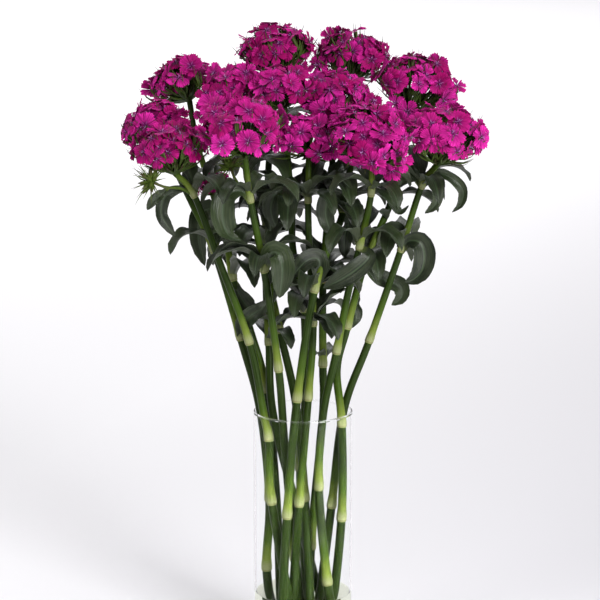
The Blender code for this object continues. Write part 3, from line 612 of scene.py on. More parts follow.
def arching_points(root, toward, length, lift, droop):
    """Midrib that rises from the joint, arches over and hangs."""
    out = Vector((math.cos(math.radians(toward)), math.sin(math.radians(toward)), 0))
    points = [root.copy()]
    steps = 6
    place = root.copy()
    for k in range(steps):
        t = (k + 0.5) / steps
        angle = math.radians(lift - droop * t ** 1.25)
        way = out * math.cos(angle) + Vector((0, 0, math.sin(angle)))
        place = place + way * (length / steps)
        points.append(place.copy())
    across = Vector((-out.y, out.x, 0))
    up_root = across.cross((points[1] - points[0]).normalized())
    up_tip = across.cross((points[-1] - points[-2]).normalized())
    return points, -up_root, -up_tip


def tree_of(piece):
    points, faces = piece
    return BVHTree.FromPolygons([tuple(p) for p in points], faces)


def hits(piece, trees):
    tested = tree_of(piece)
    return any(tested.overlap(other) for other in trees)


def beyond_root(piece):
    """The blade from its third station on, for the test against its own stem."""
    points, faces = piece
    kept = [f for f in faces if min(f) >= 8]
    return points, kept


def has_room(spec, own, trees):
    """True if the blade, made thicker all round, meets nothing that stands already."""
    fat = blade(*spec, LEAF_ROOM)
    if hits(fat, [tree for name, tree in trees if name != own]):
        return False
    return not hits(beyond_root(fat), [tree for name, tree in trees if name == own])


def shifted(points, push):
    """The same midrib, pushed in depth more and more away from the root."""
    last = len(points) - 1
    return [Vector(p) + Vector((0, push * min(1.0, 1.6 * i / last), 0))
            for i, p in enumerate(points)]


def first_with_room(choices, own, trees):
    for spec in choices:
        if has_room(spec, own, trees):
            trees.append((own, tree_of(blade(*spec))))
            return [(own, spec)]
    return []


def single_choices(entry, wave):
    """A leaf as listed, then the same leaf pushed more and more forward or back."""
    _, width, face_root, face_tip, points = entry
    for push in (0, 3, -3, 6, -6, 9, -9, 13, -13, 18, -18, 24, -24, 30, -30):
        yield shifted(points, push), width, face_root, face_tip, wave


def pair_choices(root, toward, length, width, wave):
    """A leaf that arches as it grows, then ones turned aside, shorter or less bent."""
    for turn in (0, 14, -14, 28, -28, 42, -42, 58, -58, 76, -76):
        for lift, droop, share in ((58, 130, 1.0), (70, 120, 1.0), (40, 115, 1.0),
                                   (74, 160, 0.9), (50, 90, 0.85), (66, 60, 0.8),
                                   (30, 100, 0.75), (76, 30, 0.7)):
            points, up_root, up_tip = arching_points(root, toward + turn, length * share,
                                                     lift, droop)
            yield points, width, up_root, up_tip, wave


def pair_leaves(pairs, trees, draw):
    """Leaves of the listed pairs, each in the first place that has room for it."""
    found = []
    for stem, height, toward, length, width in pairs:
        root = Vector(next(p[:3] for p in STEMS[stem]["path"] if p[2] == height))
        root.z += LEAF_OVER_JOINT
        for half_turn in (0, 180):
            wave = draw.uniform(0.2, 0.8)
            choices = pair_choices(root, toward + half_turn, length, width, wave)
            found += first_with_room(choices, stem, trees)
    return found


def all_leaves(trees, draw):
    """The leaves that the solids have, as (stem, blade values)."""
    found = []
    for entry in BLADES:
        wave = draw.uniform(0.2, 0.7)
        found += first_with_room(single_choices(entry, wave), entry[0], trees)
    return found + pair_leaves(PAIRS, trees, draw)


def cap_directions(count, lowest, draw):
    """Spread of directions over a dome, from its top down to the angle lowest."""
    floor = math.cos(math.radians(lowest))
    golden = math.pi * (3 - math.sqrt(5))
    turn = draw.uniform(0, 6.28)
    found = []
    for i in range(count):
        z = 1 - (i + 0.5) / count * (1 - floor)
        flat = math.sqrt(max(0.0, 1 - z * z))
        angle = turn + i * golden + draw.uniform(-0.12, 0.12)
        found.append(Vector((flat * math.cos(angle), flat * math.sin(angle), z)).normalized())
    return found


def cells_of(directions):
    """Corners of the cells round the directions, and each cell's own corners in order."""
    shape = bmesh.new()
    verts = [shape.verts.new(d) for d in directions]
    bmesh.ops.convex_hull(shape, input=verts, use_existing_faces=False)
    bmesh.ops.triangulate(shape, faces=shape.faces)
    shape.verts.index_update()
    shape.faces.index_update()
    corners = []
    for face in shape.faces:
        face.normal_update()
        normal = face.normal.copy()
        if normal.dot(face.calc_center_median()) < 0:
            normal = -normal
        corners.append(normal.normalized())
    cells = []
    for vert, way in zip(verts, directions):
        first = way.cross(Vector((0.37, 0.51, 0.78))).normalized()
        second = way.cross(first)
        order = sorted((f.index for f in vert.link_faces),
                       key=lambda i: math.atan2(corners[i].dot(second), corners[i].dot(first)))
        cells.append((order, first, second))
    shape.free()
    return corners, cells


def floret_rim(way, first, second, ring, phase, natural, draw):
    """Outline of a five-lobed floret that stays inside its cell's cone."""
    planes = []
    for a, b in zip(ring, ring[1:] + ring[:1]):
        normal = a.cross(b).normalized()
        planes.append(normal if normal.dot(way) > 0 else -normal)
    tilt = draw.uniform(0, 6.28)
    rim = []
    for lobe in range(5):
        for angle_in, share, out in LOBE:
            angle = phase + lobe * 2 * math.pi / 5 + angle_in
            heading = around(first, second, angle)
            most = natural
            for normal in planes:
                fall = -normal.dot(heading)
                if fall > 1e-6:
                    most = min(most, 0.955 * normal.dot(way) / fall)
            point = (way + heading * (most * share)).normalized()
            rim.append((angle, point * (1 + out + 0.03 * math.cos(angle - tilt))))
    return rim


def bridge(outer, inner):
    """Triangles between two closed rings of (angle, index), both sorted by angle."""
    full = 2 * math.pi
    a = sorted((angle % full, index) for angle, index in outer)
    b = sorted((angle % full, index) for angle, index in inner)
    faces = []
    i = 0
    j = 0
    while i < len(a) or j < len(b):
        next_a = a[(i + 1) % len(a)][0] + full * ((i + 1) // len(a))
        next_b = b[(j + 1) % len(b)][0] + full * ((j + 1) // len(b))
        if j >= len(b) or (i < len(a) and next_a <= next_b):
            faces.append((a[i % len(a)][1], a[(i + 1) % len(a)][1], b[j % len(b)][1]))
            i += 1
        else:
            faces.append((a[i % len(a)][1], b[(j + 1) % len(b)][1], b[j % len(b)][1]))
            j += 1
    return faces


def blossom(spec, draw):
    """One closed body: a core with a lobed floret standing out of each of its cells."""
    base, axis, radius = head_place(spec)
    count = max(5, round(DOME_SHARE * radius * radius / FLORET_AREA))
    florets = cap_directions(count, 100 if radius > SMALL_HEAD else 95, draw)
    under = [Vector((0, 0, -1))]
    for k in range(6):
        angle = math.pi * k / 3 + 0.2
        under.append(Vector((0.62 * math.cos(angle), 0.62 * math.sin(angle), -0.78)).normalized())
    directions = florets + under
    corners, cells = cells_of(directions)
    stretch = Vector((radius, radius, radius * HEAD_FLATNESS))
    turn = facing(axis)

    def real(point, share=1.0):
        return Vector((point.x * stretch.x, point.y * stretch.y, point.z * stretch.z)) * share

    points = []
    for corner in corners:
        local = real(corner, CORE)
        if local.z < -UNDERSIDE * radius:
            local = Vector((local.x, local.y, -UNDERSIDE * radius))
        points.append(local)
    faces = []
    natural = FLORET_RADIUS / radius
    for number, (order, first, second) in enumerate(cells):
        way = directions[number]
        if number >= count:
            faces.append(tuple(order))
            continue
        ring = [corners[i] for i in order]
        phase = draw.uniform(0, 6.28)
        rim = floret_rim(way, first, second, ring, phase, natural, draw)
        start = len(points)
        for _, point in rim:
            points.append(real(point))
        inner = [(math.atan2(corners[i].dot(second), corners[i].dot(first)), i) for i in order]
        outer = [(angle, start + k) for k, (angle, _) in enumerate(rim)]
        faces.extend(bridge(outer, inner))
        centre = len(points)
        points.append(real(way, 0.945))
        for k in range(len(rim)):
            faces.append((centre, start + k, start + (k + 1) % len(rim)))
    return [base + turn @ p for p in points], faces


def bud_cluster(points, radius, draw):
    """Closed buds, one pointed body for each cell round the end of a side shoot."""
    centre = Vector(points[-1])
    turn = facing((centre - Vector(points[-2])).normalized())
    buds = cap_directions(13, 125, draw)
    corners, cells = cells_of(buds + [Vector((0, 0, -1))])
    solid = [centre + turn @ (corner * (radius * 0.42)) for corner in corners]
    faces = []
    for number, (order, _, _) in enumerate(cells):
        if number == len(buds):
            faces.append(tuple(order))
            continue
        tip = len(solid)
        solid.append(centre + turn @ (buds[number] * (radius * draw.uniform(1.0, 1.45))))
        for i, j in zip(order, order[1:] + order[:1]):
            faces.append((i, j, tip))
    bracts = [spike(centre + turn @ (buds[k] * radius * 0.3), turn @ buds[k + 1],
                    radius * draw.uniform(1.4, 1.9), 0.8, 0.5) for k in (4, 7, 10)]
    return [(solid, faces)] + bracts


def stalk(points, radius):
    line, total = bent_line(points)
    places = [at_length(line, total, total[-1] * t) for t in (0, 0.3, 0.65, 1.0)]
    return tube(*zip(*places), [radius] * len(places), 5)


def skirt_tree(name, spec, bracts, trees):
    """Adds the calyx cone, its bracts as long as the other heads and stems leave room for."""
    others = [tree for owner, tree in trees if owner != name]
    for reach in (1.0, 0.88, 0.76, 0.64):
        piece = skirt(spec, bracts, reach, random.Random(name))
        if not hits(piece, others):
            break
    trees.append((name, tree_of(piece)))


def plan_leaves():
    """The solids' leaves as blade values, and the trees of all that stands in their way."""
    draw = random.Random(SEED)
    trees = [("bloom", tree_of(blossom(spec, draw))) for spec in [*STEMS.values(), LATE_HEAD]]
    trees.extend((name, tree_of(stem_tube(spec))) for name, spec in STEMS.items())
    for name, spec in STEMS.items():
        skirt_tree(name, spec, 7, trees)
    base, axis, radius = head_place(LATE_HEAD)
    trees.append(("03", tree_of(stalk(LATE_STALK + [base - axis * (0.45 * radius)], 1.5))))
    skirt_tree("03", LATE_HEAD, 5, trees)
    for stem, points, radius in SHOOTS:
        shoot = [stalk(points, 1.4)] + bud_cluster(points, radius, draw)
        trees.extend((stem, tree_of(piece)) for piece in shoot)
    return all_leaves(trees, draw), trees


def kept_inside(point):
    """The point, with most of any reach beyond the solids' box taken back."""
    place = point.copy()
    for axis in range(3):
        low = CAD_BOX[0][axis] / MM
        high = CAD_BOX[1][axis] / MM
        inside = min(max(place[axis], low), high)
        place[axis] = inside + (place[axis] - inside) * OVERREACH
    return place


def placed(name, data):
    """New object that shows the data, in the scene."""
    made = bpy.data.objects.new(name, data)
    bpy.context.scene.collection.objects.link(made)
    return made


class Piece:
    """Points and faces of one piece, and the values at each point that its colours use."""

    def __init__(self):
        self.points = []
        self.faces = []
        self.surfaces = []
        self.values = {"along": [], "across": [], "tint": [], "pale": []}

    def point(self, place, along=0.0, across=0.0, tint=0.0, pale=0.0):
        self.points.append(place)
        for name, value in zip(self.values, (along, across, tint, pale)):
            self.values[name].append(value)
        return len(self.points) - 1

    def face(self, corners, surface=0):
        self.faces.append(corners)
        self.surfaces.append(surface)

    def build(self, name, surfaces, node, slot):
        """Makes the object that stands in for the node."""
        mesh = bpy.data.meshes.new(name)
        mesh.from_pydata([kept_inside(p) * MM for p in self.points], [], self.faces)
        for key, numbers in self.values.items():
            mesh.attributes.new(key, "FLOAT", "POINT").data.foreach_set("value", numbers)
        for surface in surfaces:
            mesh.materials.append(surface)
        mesh.polygons.foreach_set("material_index", self.surfaces)
        shape = bmesh.new()
        shape.from_mesh(mesh)
        bmesh.ops.recalc_face_normals(shape, faces=shape.faces)
        shape.to_mesh(mesh)
        shape.free()
        mesh.polygons.foreach_set("use_smooth", [True] * len(mesh.polygons))
        mesh.set_sharp_from_angle(angle=math.radians(SHARP_ANGLE))
        made = placed(name, mesh)
        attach(made, "root")
        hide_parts(node)


def between(table, t):
    """Value at t of a table of (place, value), eased between its rows."""
    for (a, low), (b, high) in zip(table, table[1:]):
        if t <= b:
            share = (t - a) / (b - a)
            share = share * share * (3 - 2 * share)
            return low + (high - low) * max(share, 0.0)
    return table[-1][1]


def add_rings(piece, rings, sides, value, surface=0):
    """Tube through rings of (centre, heading, radius), closed at both ends."""
    points, faces = tube(*zip(*rings), sides)
    start = len(piece.points)
    for n, place in enumerate(points):
        piece.point(place, *value(n // sides, n % sides / sides))
    for corners in faces:
        piece.face(tuple(start + corner for corner in corners), surface)


def add_sheet(piece, rows, columns, row_spots, tint, pales=(0.0, 1.0)):
    """Closed thin sheet whose values run along the rows and across the columns.

    row_spots(t) gives the upper and lower point at each column of the row at t.
    """
    grid = [row_spots(t) for t in rows]
    top, low = [[[piece.point(spot[layer], t, v, tint, pales[layer])
                  for spot, v in zip(spots, columns)] for spots, t in zip(grid, rows)]
                for layer in (0, 1)]
    last_row = len(rows) - 1
    last_column = len(columns) - 1
    for i in range(last_row):
        for j in range(last_column):
            piece.face((top[i][j], top[i][j + 1], top[i + 1][j + 1], top[i + 1][j]))
            piece.face((low[i][j], low[i + 1][j], low[i + 1][j + 1], low[i][j + 1]))
    edge = [(0, j) for j in range(last_column)] + [(i, last_column) for i in range(last_row)]
    edge += [(last_row, j) for j in range(last_column, 0, -1)]
    edge += [(i, 0) for i in range(last_row, 0, -1)]
    for (i, j), (k, m) in zip(edge, edge[1:] + edge[:1]):
        piece.face((top[i][j], low[i][j], low[k][m], top[k][m]))


def add_thread(piece, points, radii, sides, pale, tint, surface=0, steps=5):
    """Thin tapered tube along a bent line, for stalks, bracts and stamens."""
    line, total = bent_line(points)
    places = [k / (steps - 1) for k in range(steps)]
    rings = [(*at_length(line, total, t * total[-1]), between(radii, t)) for t in places]
    add_rings(piece, rings, sides, lambda i, turn: (places[i], turn, tint, pale), surface)


def petal_edge(share, size, notch, phase):
    """Distance of a petal's toothed edge from the eye, share from -1 to 1 across it."""
    outline = size * (1 - 0.20 * abs(share) ** 2.4)
    tooth = 1 if round((share + 1) * PETAL_COLUMNS / 2) % 2 else -1
    depth = 0.72 + 0.45 * math.sin(5.0 * share + 2.0 * phase)
    return outline + depth * tooth + notch * math.cos(3.1 * share + phase)


def add_petal(piece, place, turn, angle, size, form, tint):
    """One fan-shaped petal with a toothed edge, its claw at place, turned about the eye."""
    half = math.radians(form["half"])

    def row_spots(row):
        spots = []
        narrow = 0.62 + 0.38 * min(1.0, row / 0.42)
        for share in PETAL_ACROSS:
            reach = petal_edge(share, size, form["notch"], form["phase"])
            out = CLAW + (reach - CLAW) * row
            theta = angle + share * half * narrow
            rise = -0.9 * (1 - row) ** 3
            rise += form["cup"] * size * row * row
            rise += PETAL_LAP * share * row
            rise += form["wave"] * row * row * math.sin(5.2 * share + form["phase"])
            rise -= form["fold"] * row * (1 - abs(share)) * 0.9
            spot = Vector((out * math.cos(theta), out * math.sin(theta), rise))
            under = spot - Vector((0, 0, PETAL_THICKNESS))
            spots.append((place + turn @ spot, place + turn @ under))
        return spots

    add_sheet(piece, PETAL_ROWS, PETAL_ACROSS, row_spots, tint)


def add_floret(piece, place, normal, size, tint, draw):
    """Five petals round an eye with two pale stamens."""
    turn = facing(normal)
    phase = draw.uniform(0, 6.28)
    cup = draw.choice((draw.uniform(-0.34, 0.0), draw.uniform(-0.10, 0.26)))
    half = draw.choice(PETAL_HALF_ANGLES)
    for k in range(PETALS):
        form = {"half": half + draw.uniform(-1.5, 1.5), "cup": cup + draw.uniform(-0.12, 0.12),
                "wave": draw.uniform(0.3, 1.3), "fold": draw.uniform(0.1, 1.1),
                "notch": draw.uniform(0.0, 0.4), "phase": draw.uniform(0, 6.28)}
        angle = phase + k * 2 * math.pi / PETALS + draw.uniform(-0.05, 0.05)
        add_petal(piece, place, turn, angle, size * draw.uniform(0.94, 1.04), form,
                  min(1.0, max(0.0, tint + draw.uniform(-0.12, 0.12))))
    for _ in range(2):
        out = around(Vector((1, 0, 0)), Vector((0, 1, 0)), phase + draw.uniform(0, 6.28))
        bends = ((0.3, -1.4), (0.8, 1.0), (draw.uniform(1.4, 2.4), 2.4))
        line = [place + turn @ (out * reach + Vector((0, 0, rise))) for reach, rise in bends]
        add_thread(piece, line, STAMEN_RADII, 4, 0.0, tint, surface=1)


def add_pod(piece, foot, way, length, radius, outline, places, tint, pale):
    """Straight eight-sided tube whose radius follows the outline."""
    rings = [(foot + way * (length * t), way, radius * between(outline, t)) for t in places]
    last = len(places) - 1
    add_rings(piece, rings, 8, lambda i, turn: (i / last, turn, tint, pale))


def add_calyx(piece, top, foot, radius, draw):
    """Green tube under a floret."""
    way = (top - foot).normalized()
    add_pod(piece, foot, way, (top - foot).length, radius, CALYX_OUTLINE, CALYX_PLACES,
            draw.uniform(0, 1), 0.45)


def add_bracts(piece, foot, way, count, length, draw):
    """Needle bracts from the foot of a calyx, bowed out and up past the petals."""
    side, other = cross_frame(way)
    start = draw.uniform(0, 6.28)
    for k in range(count):
        angle = start + 2 * math.pi * k / count + draw.uniform(-0.4, 0.4)
        out = around(side, other, angle)
        reach = length * draw.uniform(0.75, 1.1)
        spread = draw.uniform(0.18, 0.42)
        line = [foot + out * 0.8,
                foot + way * (reach * 0.35) + out * (reach * spread * 0.85),
                foot + way * (reach * 0.72) + out * (reach * spread * 1.1),
                foot + way * reach + out * (reach * spread * draw.uniform(0.8, 1.5))]
        add_thread(piece, line, BRACT_RADII, 4, 0.5, draw.uniform(0, 1))


def add_ruff(piece, base, axis, radius, draw):
    """Narrow leafy bracts that rise from the top of the stem round the whole head."""
    side, other = cross_frame(axis)
    root = base - axis * (0.76 * radius)
    count = round(0.42 * radius)
    for k in range(count):
        angle = 2 * math.pi * (k + draw.uniform(-0.3, 0.3)) / count
        out = around(side, other, angle)
        reach = radius * draw.uniform(0.5, 0.86)
        top = draw.uniform(0.18, 0.42)
        points = [root + out * 1.2, root + out * (reach * 0.4) + axis * (radius * 0.14),
                  root + out * (reach * 0.75) + axis * (radius * top * 0.8),
                  root + out * reach + axis * (radius * (top + 0.1))]
        face = axis * 0.8 - out * 0.4
        add_narrow_leaf(piece, points, face, 3.4 * min(1.0, radius / 30), draw.uniform(0, 1))


def add_narrow_leaf(piece, points, face, width, tint):
    """Lance-shaped bract: a thin closed sheet with a pointed tip."""
    line, total = bent_line(points)

    def row_spots(t):
        centre, heading = at_length(line, total, t * total[-1])
        side = heading.cross(face).normalized()
        up = side.cross(heading).normalized()
        half = 0.5 * width * between(RUFF_OUTLINE, t)
        spots = [centre + side * (half * v) + up * (0.35 * half * abs(v)) for v in (-1, 0, 1)]
        return [(spot + up * 0.16, spot - up * 0.16) for spot in spots]

    rows = [k / (RUFF_ROWS - 1) for k in range(RUFF_ROWS)]
    add_sheet(piece, rows, (-1.0, 0.0, 1.0), row_spots, tint, (0.25, 0.25))


def floret_places(spec, draw):
    """Where each floret's eye is on the head, and the way it looks."""
    base, axis, radius = head_place(spec)
    turn = facing(axis)
    count = max(6, round(DOME_SHARE * radius * radius / FAN_AREA))
    found = []

    def scatter(spread):
        return Vector([draw.gauss(0, spread) for _ in range(3)])

    for way in cap_directions(count, 101 if radius > SMALL_HEAD else 95, draw):
        if draw.random() < BARE_SHARE:
            continue
        depth = FAN_DEPTH + draw.uniform(-0.19, 0.06)
        local = Vector((way.x, way.y, way.z * HEAD_FLATNESS)) * (radius * depth)
        normal = Vector((way.x, way.y, way.z / HEAD_FLATNESS)).normalized()
        normal = (normal * 0.85 + Vector((0, 0, 0.2)) + scatter(0.34)).normalized()
        found.append((base + turn @ local, turn @ normal))
    for _ in range(round(radius / 8)):
        angle = draw.uniform(0, 2 * math.pi)
        low = math.radians(draw.uniform(78, 104))
        way = Vector((math.sin(low) * math.cos(angle), math.sin(low) * math.sin(angle),
                      math.cos(low)))
        local = Vector((way.x, way.y, way.z * HEAD_FLATNESS)) * (radius * draw.uniform(0.9, 1.04))
        normal = (way + scatter(0.35)).normalized()
        found.append((base + turn @ local, turn @ normal))
    return found


def stragglers(name, hub):
    """Florets that stand out of the head, in the gaps beside it."""
    found = []
    for place in STRAGGLERS.get(name, ()):
        outward = (Vector(place) - hub).normalized()
        found.append((Vector(place), (outward * 0.6 + Vector((0, -0.6, 0.3))).normalized()))
    return found


def dress_head(name, spec, surfaces, draw):
    """Builds the petals of one head, and returns the piece of its calyxes and bracts."""
    base, axis, radius = head_place(spec)
    petals = Piece()
    green = Piece()
    hub = base - axis * (0.72 * radius)
    small = min(1.0, radius / 24.0)
    # Some heads get a lower brightest tint, which is painted shade.
    tone = SHADED_HEAD_TINTS.get(name, 1.0)
    for place, normal in floret_places(spec, draw) + stragglers(name, hub):
        size = FAN_RADIUS * small * draw.uniform(0.86, 1.12)
        add_floret(petals, place, normal, size, draw.uniform(0, tone), draw)
        way = (normal * 0.5 + axis * 0.5).normalized()
        top = place - normal * 1.5
        foot = top - way * (CALYX_LENGTH * small)
        add_calyx(green, top, foot, CALYX_RADIUS * small ** 0.5, draw)
        middle = foot.lerp(hub, 0.5) - axis * (0.05 * radius)
        add_thread(green, [foot + way * 0.5, middle, hub], ((0, 0.9), (1, 1.2)), 5, 0.4,
                   draw.uniform(0, 1), steps=4)
        add_bracts(green, foot, way, 4, 22 * small, draw)
        add_bracts(green, middle, (foot - middle).normalized(), 2, 24 * small, draw)
    add_ruff(green, base, axis, radius, draw)
    petals.build("petals_" + name, surfaces, "bloom_" + name, "petal")
    return green


def stem_swell(s, joints):
    """Share of the plain radius at the length s: a knob at each joint, then a sleeve."""
    above = [max(s - joint, UNDER_KNOB) for joint in joints]
    return max([1.0] + [between(KNOB_SWELL, d) for d in above])


def paleness(s, joints):
    """How pale the green is at the length s: palest at each knob, dark far above it."""
    above = [s - joint for joint in joints if s - joint > KNOB_PALENESS[0][0]]
    return max([PLAIN_PALENESS] + [between(KNOB_PALENESS, d) for d in above])


def fine_radius(s, whole):
    return FINE_FOOT + (FINE_TOP - FINE_FOOT) * s / whole


def dress_stem(name, spec, surface):
    """Fine stem with extra rings near each joint."""
    line, total, joints = stem_line(spec)
    whole = total[-1]
    places = {0.0, whole}
    places.update(RING_STEP * k for k in range(1, int(whole / RING_STEP)))
    for joint in joints:
        places = {s for s in places if not joint - 4 < s < joint + 4 or s == 0.0}
        places.update(joint + d for d in JOINT_RINGS)
    places = sorted(s for s in places if 0 <= s <= whole)
    rings = [(*at_length(line, total, s), fine_radius(s, whole) * stem_swell(s, joints))
             for s in places]
    piece = Piece()
    tint = random.Random(name).uniform(0, 1)
    add_rings(piece, rings, FINE_SIDES,
              lambda i, turn: (places[i] * 0.01, turn, tint, paleness(places[i], joints)))
    piece.build("stalk_" + name, [surface], "stem_" + name, "stem_and_leaf")


def add_leaf(piece, spec, tint):
    """Fine leaf on the same midrib, folded, rippled and curled as its solid is."""
    points, width, face_root, face_tip, wave = spec
    line, total = bent_line(points, 12)

    def row_spots(t):
        centre, heading = at_length(line, total, t * total[-1])
        face = Vector(face_root).lerp(Vector(face_tip), t)
        side = heading.cross(face).normalized()
        up = side.cross(heading).normalized()
        share = between(LEAF_OUTLINE, t)
        half = 0.5 * width * share
        spots = []
        for v in LEAF_COLUMNS:
            lift = 0.46 * half * abs(v) ** 1.15
            ripple = wave * share * math.sin(t * 11.0) * v
            flutter = 1.5 * share * v * v * math.sin(t * 19.0 + tint * 40.0 + 1.6 * v)
            here = centre + side * (half * v) + up * (lift - ripple + flutter)
            thick = LEAF_THICKNESS * (1.0 - 0.55 * abs(v)) * (0.4 + 0.6 * share)
            if v == 0.0:
                thick *= 1.6
                here = here - up * 0.15
            spots.append((here + up * (thick * 0.5), here - up * (thick * 0.5)))
        return spots

    rows = [k / (LEAF_ROWS - 1) for k in range(LEAF_ROWS)]
    add_sheet(piece, rows, LEAF_COLUMNS, row_spots, tint)


def dress_leaves(leaves, surface, draw):
    for name in STEMS:
        piece = Piece()
        for owner, spec in leaves:
            if owner == name:
                add_leaf(piece, spec, draw.uniform(0, 1))
        piece.build("leaves_" + name, [surface], "stem_" + name, "stem_and_leaf")


def add_bud_cluster(piece, points, radius, draw):
    """Side shoot: stalk, closed buds and long needle bracts all round."""
    centre = Vector(points[-1])
    turn = facing((centre - Vector(points[-2])).normalized())
    add_thread(piece, points, ((0, 1.5), (1, 1.3)), 8, 0.7, 0.5, steps=9)
    for bud in cap_directions(BUD_COUNT, 100, draw):
        out = turn @ bud
        length = radius * draw.uniform(1.1, 1.4)
        add_pod(piece, centre + out * (radius * 0.12), out, length, BUD_RADIUS, BUD_OUTLINE,
                BUD_PLACES, draw.uniform(0, 1), 0.8)
    for needle in cap_directions(NEEDLE_COUNT, 112, draw):
        out = (turn @ needle).normalized()
        lean = Vector([draw.gauss(0, 0.25) for _ in range(3)])
        length = radius * draw.uniform(1.5, 2.3)
        line = [centre + out * 1.0, centre + (out + lean * 0.3) * (length * 0.45),
                centre + (out + lean * 0.5) * (length * 0.75), centre + (out + lean) * length]
        add_thread(piece, line, NEEDLE_RADII, 4, 0.75, draw.uniform(0, 1))


class Look:
    """A node material round one Principled shader, with short calls for its nodes."""

    def __init__(self, name, **constants):
        self.material = bpy.data.materials.new(name)
        self.material.use_nodes = True
        self.tree = self.material.node_tree
        self.shader = self.tree.nodes["Principled BSDF"]
        for socket, value in constants.items():
            self.shader.inputs[socket.replace("_", " ")].default_value = value

    def node(self, kind, inputs=(), **settings):
        made = self.tree.nodes.new(kind)
        for name, value in settings.items():
            setattr(made, name, value)
        for key, value in dict(inputs).items():
            self.feed(made.inputs[key], value)
        return made

    def feed(self, socket, value):
        if isinstance(value, bpy.types.NodeSocket):
            self.tree.links.new(value, socket)
        else:
            socket.default_value = value

    def value(self, name):
        return self.node("ShaderNodeAttribute", attribute_name=name).outputs["Fac"]

    def math(self, operation, first, second=0.0):
        made = self.node("ShaderNodeMath", operation=operation)
        self.feed(made.inputs[0], first)
        self.feed(made.inputs[1], second)
        return made.outputs[0]

    def streaks(self, scale, detail, across, along=1.0, apart=1.0):
        """Noise drawn out along the piece, and different for each tint."""
        x, y, z = [self.math("MULTIPLY", self.value(name), factor)
                   for name, factor in (("across", across), ("along", along), ("tint", apart))]
        spot = self.node("ShaderNodeCombineXYZ", {"X": x, "Y": y, "Z": z})
        return self.noise(scale, detail, spot.outputs[0])

    def noise(self, scale, detail=3.0, vector=None):
        made = self.node("ShaderNodeTexNoise", {"Scale": scale, "Detail": detail})
        self.feed(made.inputs["Vector"], vector if vector is not None else self.place())
        return made.outputs["Fac"]

    def place(self):
        return self.node("ShaderNodeTexCoord").outputs["Object"]

    def steps(self, factor, stops):
        made = self.node("ShaderNodeValToRGB", {"Fac": factor})
        ramp = made.color_ramp
        while len(ramp.elements) < len(stops):
            ramp.elements.new(1.0)
        for element, (where, colour) in zip(ramp.elements, stops):
            element.position = where
            element.color = (*colour, 1.0)
        return made.outputs["Color"]

    def share(self, factor, low, high, to_low=0.0, to_high=1.0):
        made = self.node("ShaderNodeMapRange", {"Value": factor, "From Min": low, "From Max": high,
                                                "To Min": to_low, "To Max": to_high})
        return made.outputs["Result"]

    def mix(self, factor, first, second, blend="MIX"):
        made = self.node("ShaderNodeMix", data_type="RGBA", blend_type=blend)
        for socket, value in ((made.inputs[0], factor), (made.inputs[6], first),
                              (made.inputs[7], second)):
            if isinstance(value, tuple) and len(value) == 3:
                value = (*value, 1.0)
            self.feed(socket, value)
        return made.outputs[2]

    def bump(self, height, strength, distance):
        made = self.node("ShaderNodeBump", {"Height": height, "Strength": strength,
                                            "Distance": distance})
        self.feed(self.shader.inputs["Normal"], made.outputs["Normal"])

    def colour(self, value):
        self.feed(self.shader.inputs["Base Color"], value)

    def roughness(self, value):
        self.feed(self.shader.inputs["Roughness"], value)


def petal_look():
    """Velvety magenta with darker streaks fanning out, a violet ring, a pale star, painted shade
    towards the eye and a painted highlight at the rim.
    """
    look = Look("petal_velvet", Sheen_Weight=0.1, Sheen_Roughness=0.4,
                Sheen_Tint=(1.0, 0.3, 0.8, 1), Specular_IOR_Level=0.05)
    along = look.value("along")
    across = look.value("across")
    tint = look.value("tint")
    streak = look.streaks(1.6, 3.0, 7.0, 0.8, 31.0)
    deep = look.mix(tint, PETAL_DEEP_A, PETAL_DEEP_B)
    bright = look.mix(tint, PETAL_BRIGHT_A, PETAL_BRIGHT_B)
    body = look.mix(look.share(streak, 0.3, 0.7), deep, bright)
    # Painted shade and painted highlight: each petal's colour is darkened towards its eye and
    # brightened at its rim.
    painted_light_levels = ((0.0, 0.5), (0.2, 0.66), (0.6, 0.9), (1.0, 1.25))
    ring = look.steps(along, [(where, (level,) * 3) for where, level in painted_light_levels])
    violet = look.mix(look.share(along, 0.12, 0.46, 0.8, 0.0), body, PETAL_VIOLET)
    shaded = look.mix(1.0, violet, ring, "MULTIPLY")
    centre_line = look.share(look.math("ABSOLUTE", across), 0.03, 0.18, 1.0, 0.0)
    near_eye = look.math("MULTIPLY", look.share(along, 0.06, 0.16),
                         look.share(along, 0.2, 0.44, 1.0, 0.0))
    star = look.math("MULTIPLY", look.math("MULTIPLY", centre_line, near_eye), 0.45)
    marked = look.mix(star, shaded, PETAL_STAR)
    below = look.value("pale")
    look.colour(look.mix(look.math("MULTIPLY", below, 0.45), marked, PETAL_BELOW))
    look.roughness(look.share(streak, 0.2, 0.8, 0.5, 0.66))
    look.bump(streak, 0.35, 0.0006)
    return look.material


def stamen_look():
    """Dusty lilac."""
    look = Look("stamen_lilac", Roughness=0.6)
    grain = look.noise(900.0, 2.0)
    look.colour(look.mix(grain, STAMEN_A, STAMEN_B))
    look.bump(grain, 0.4, 0.0002)
    return look.material


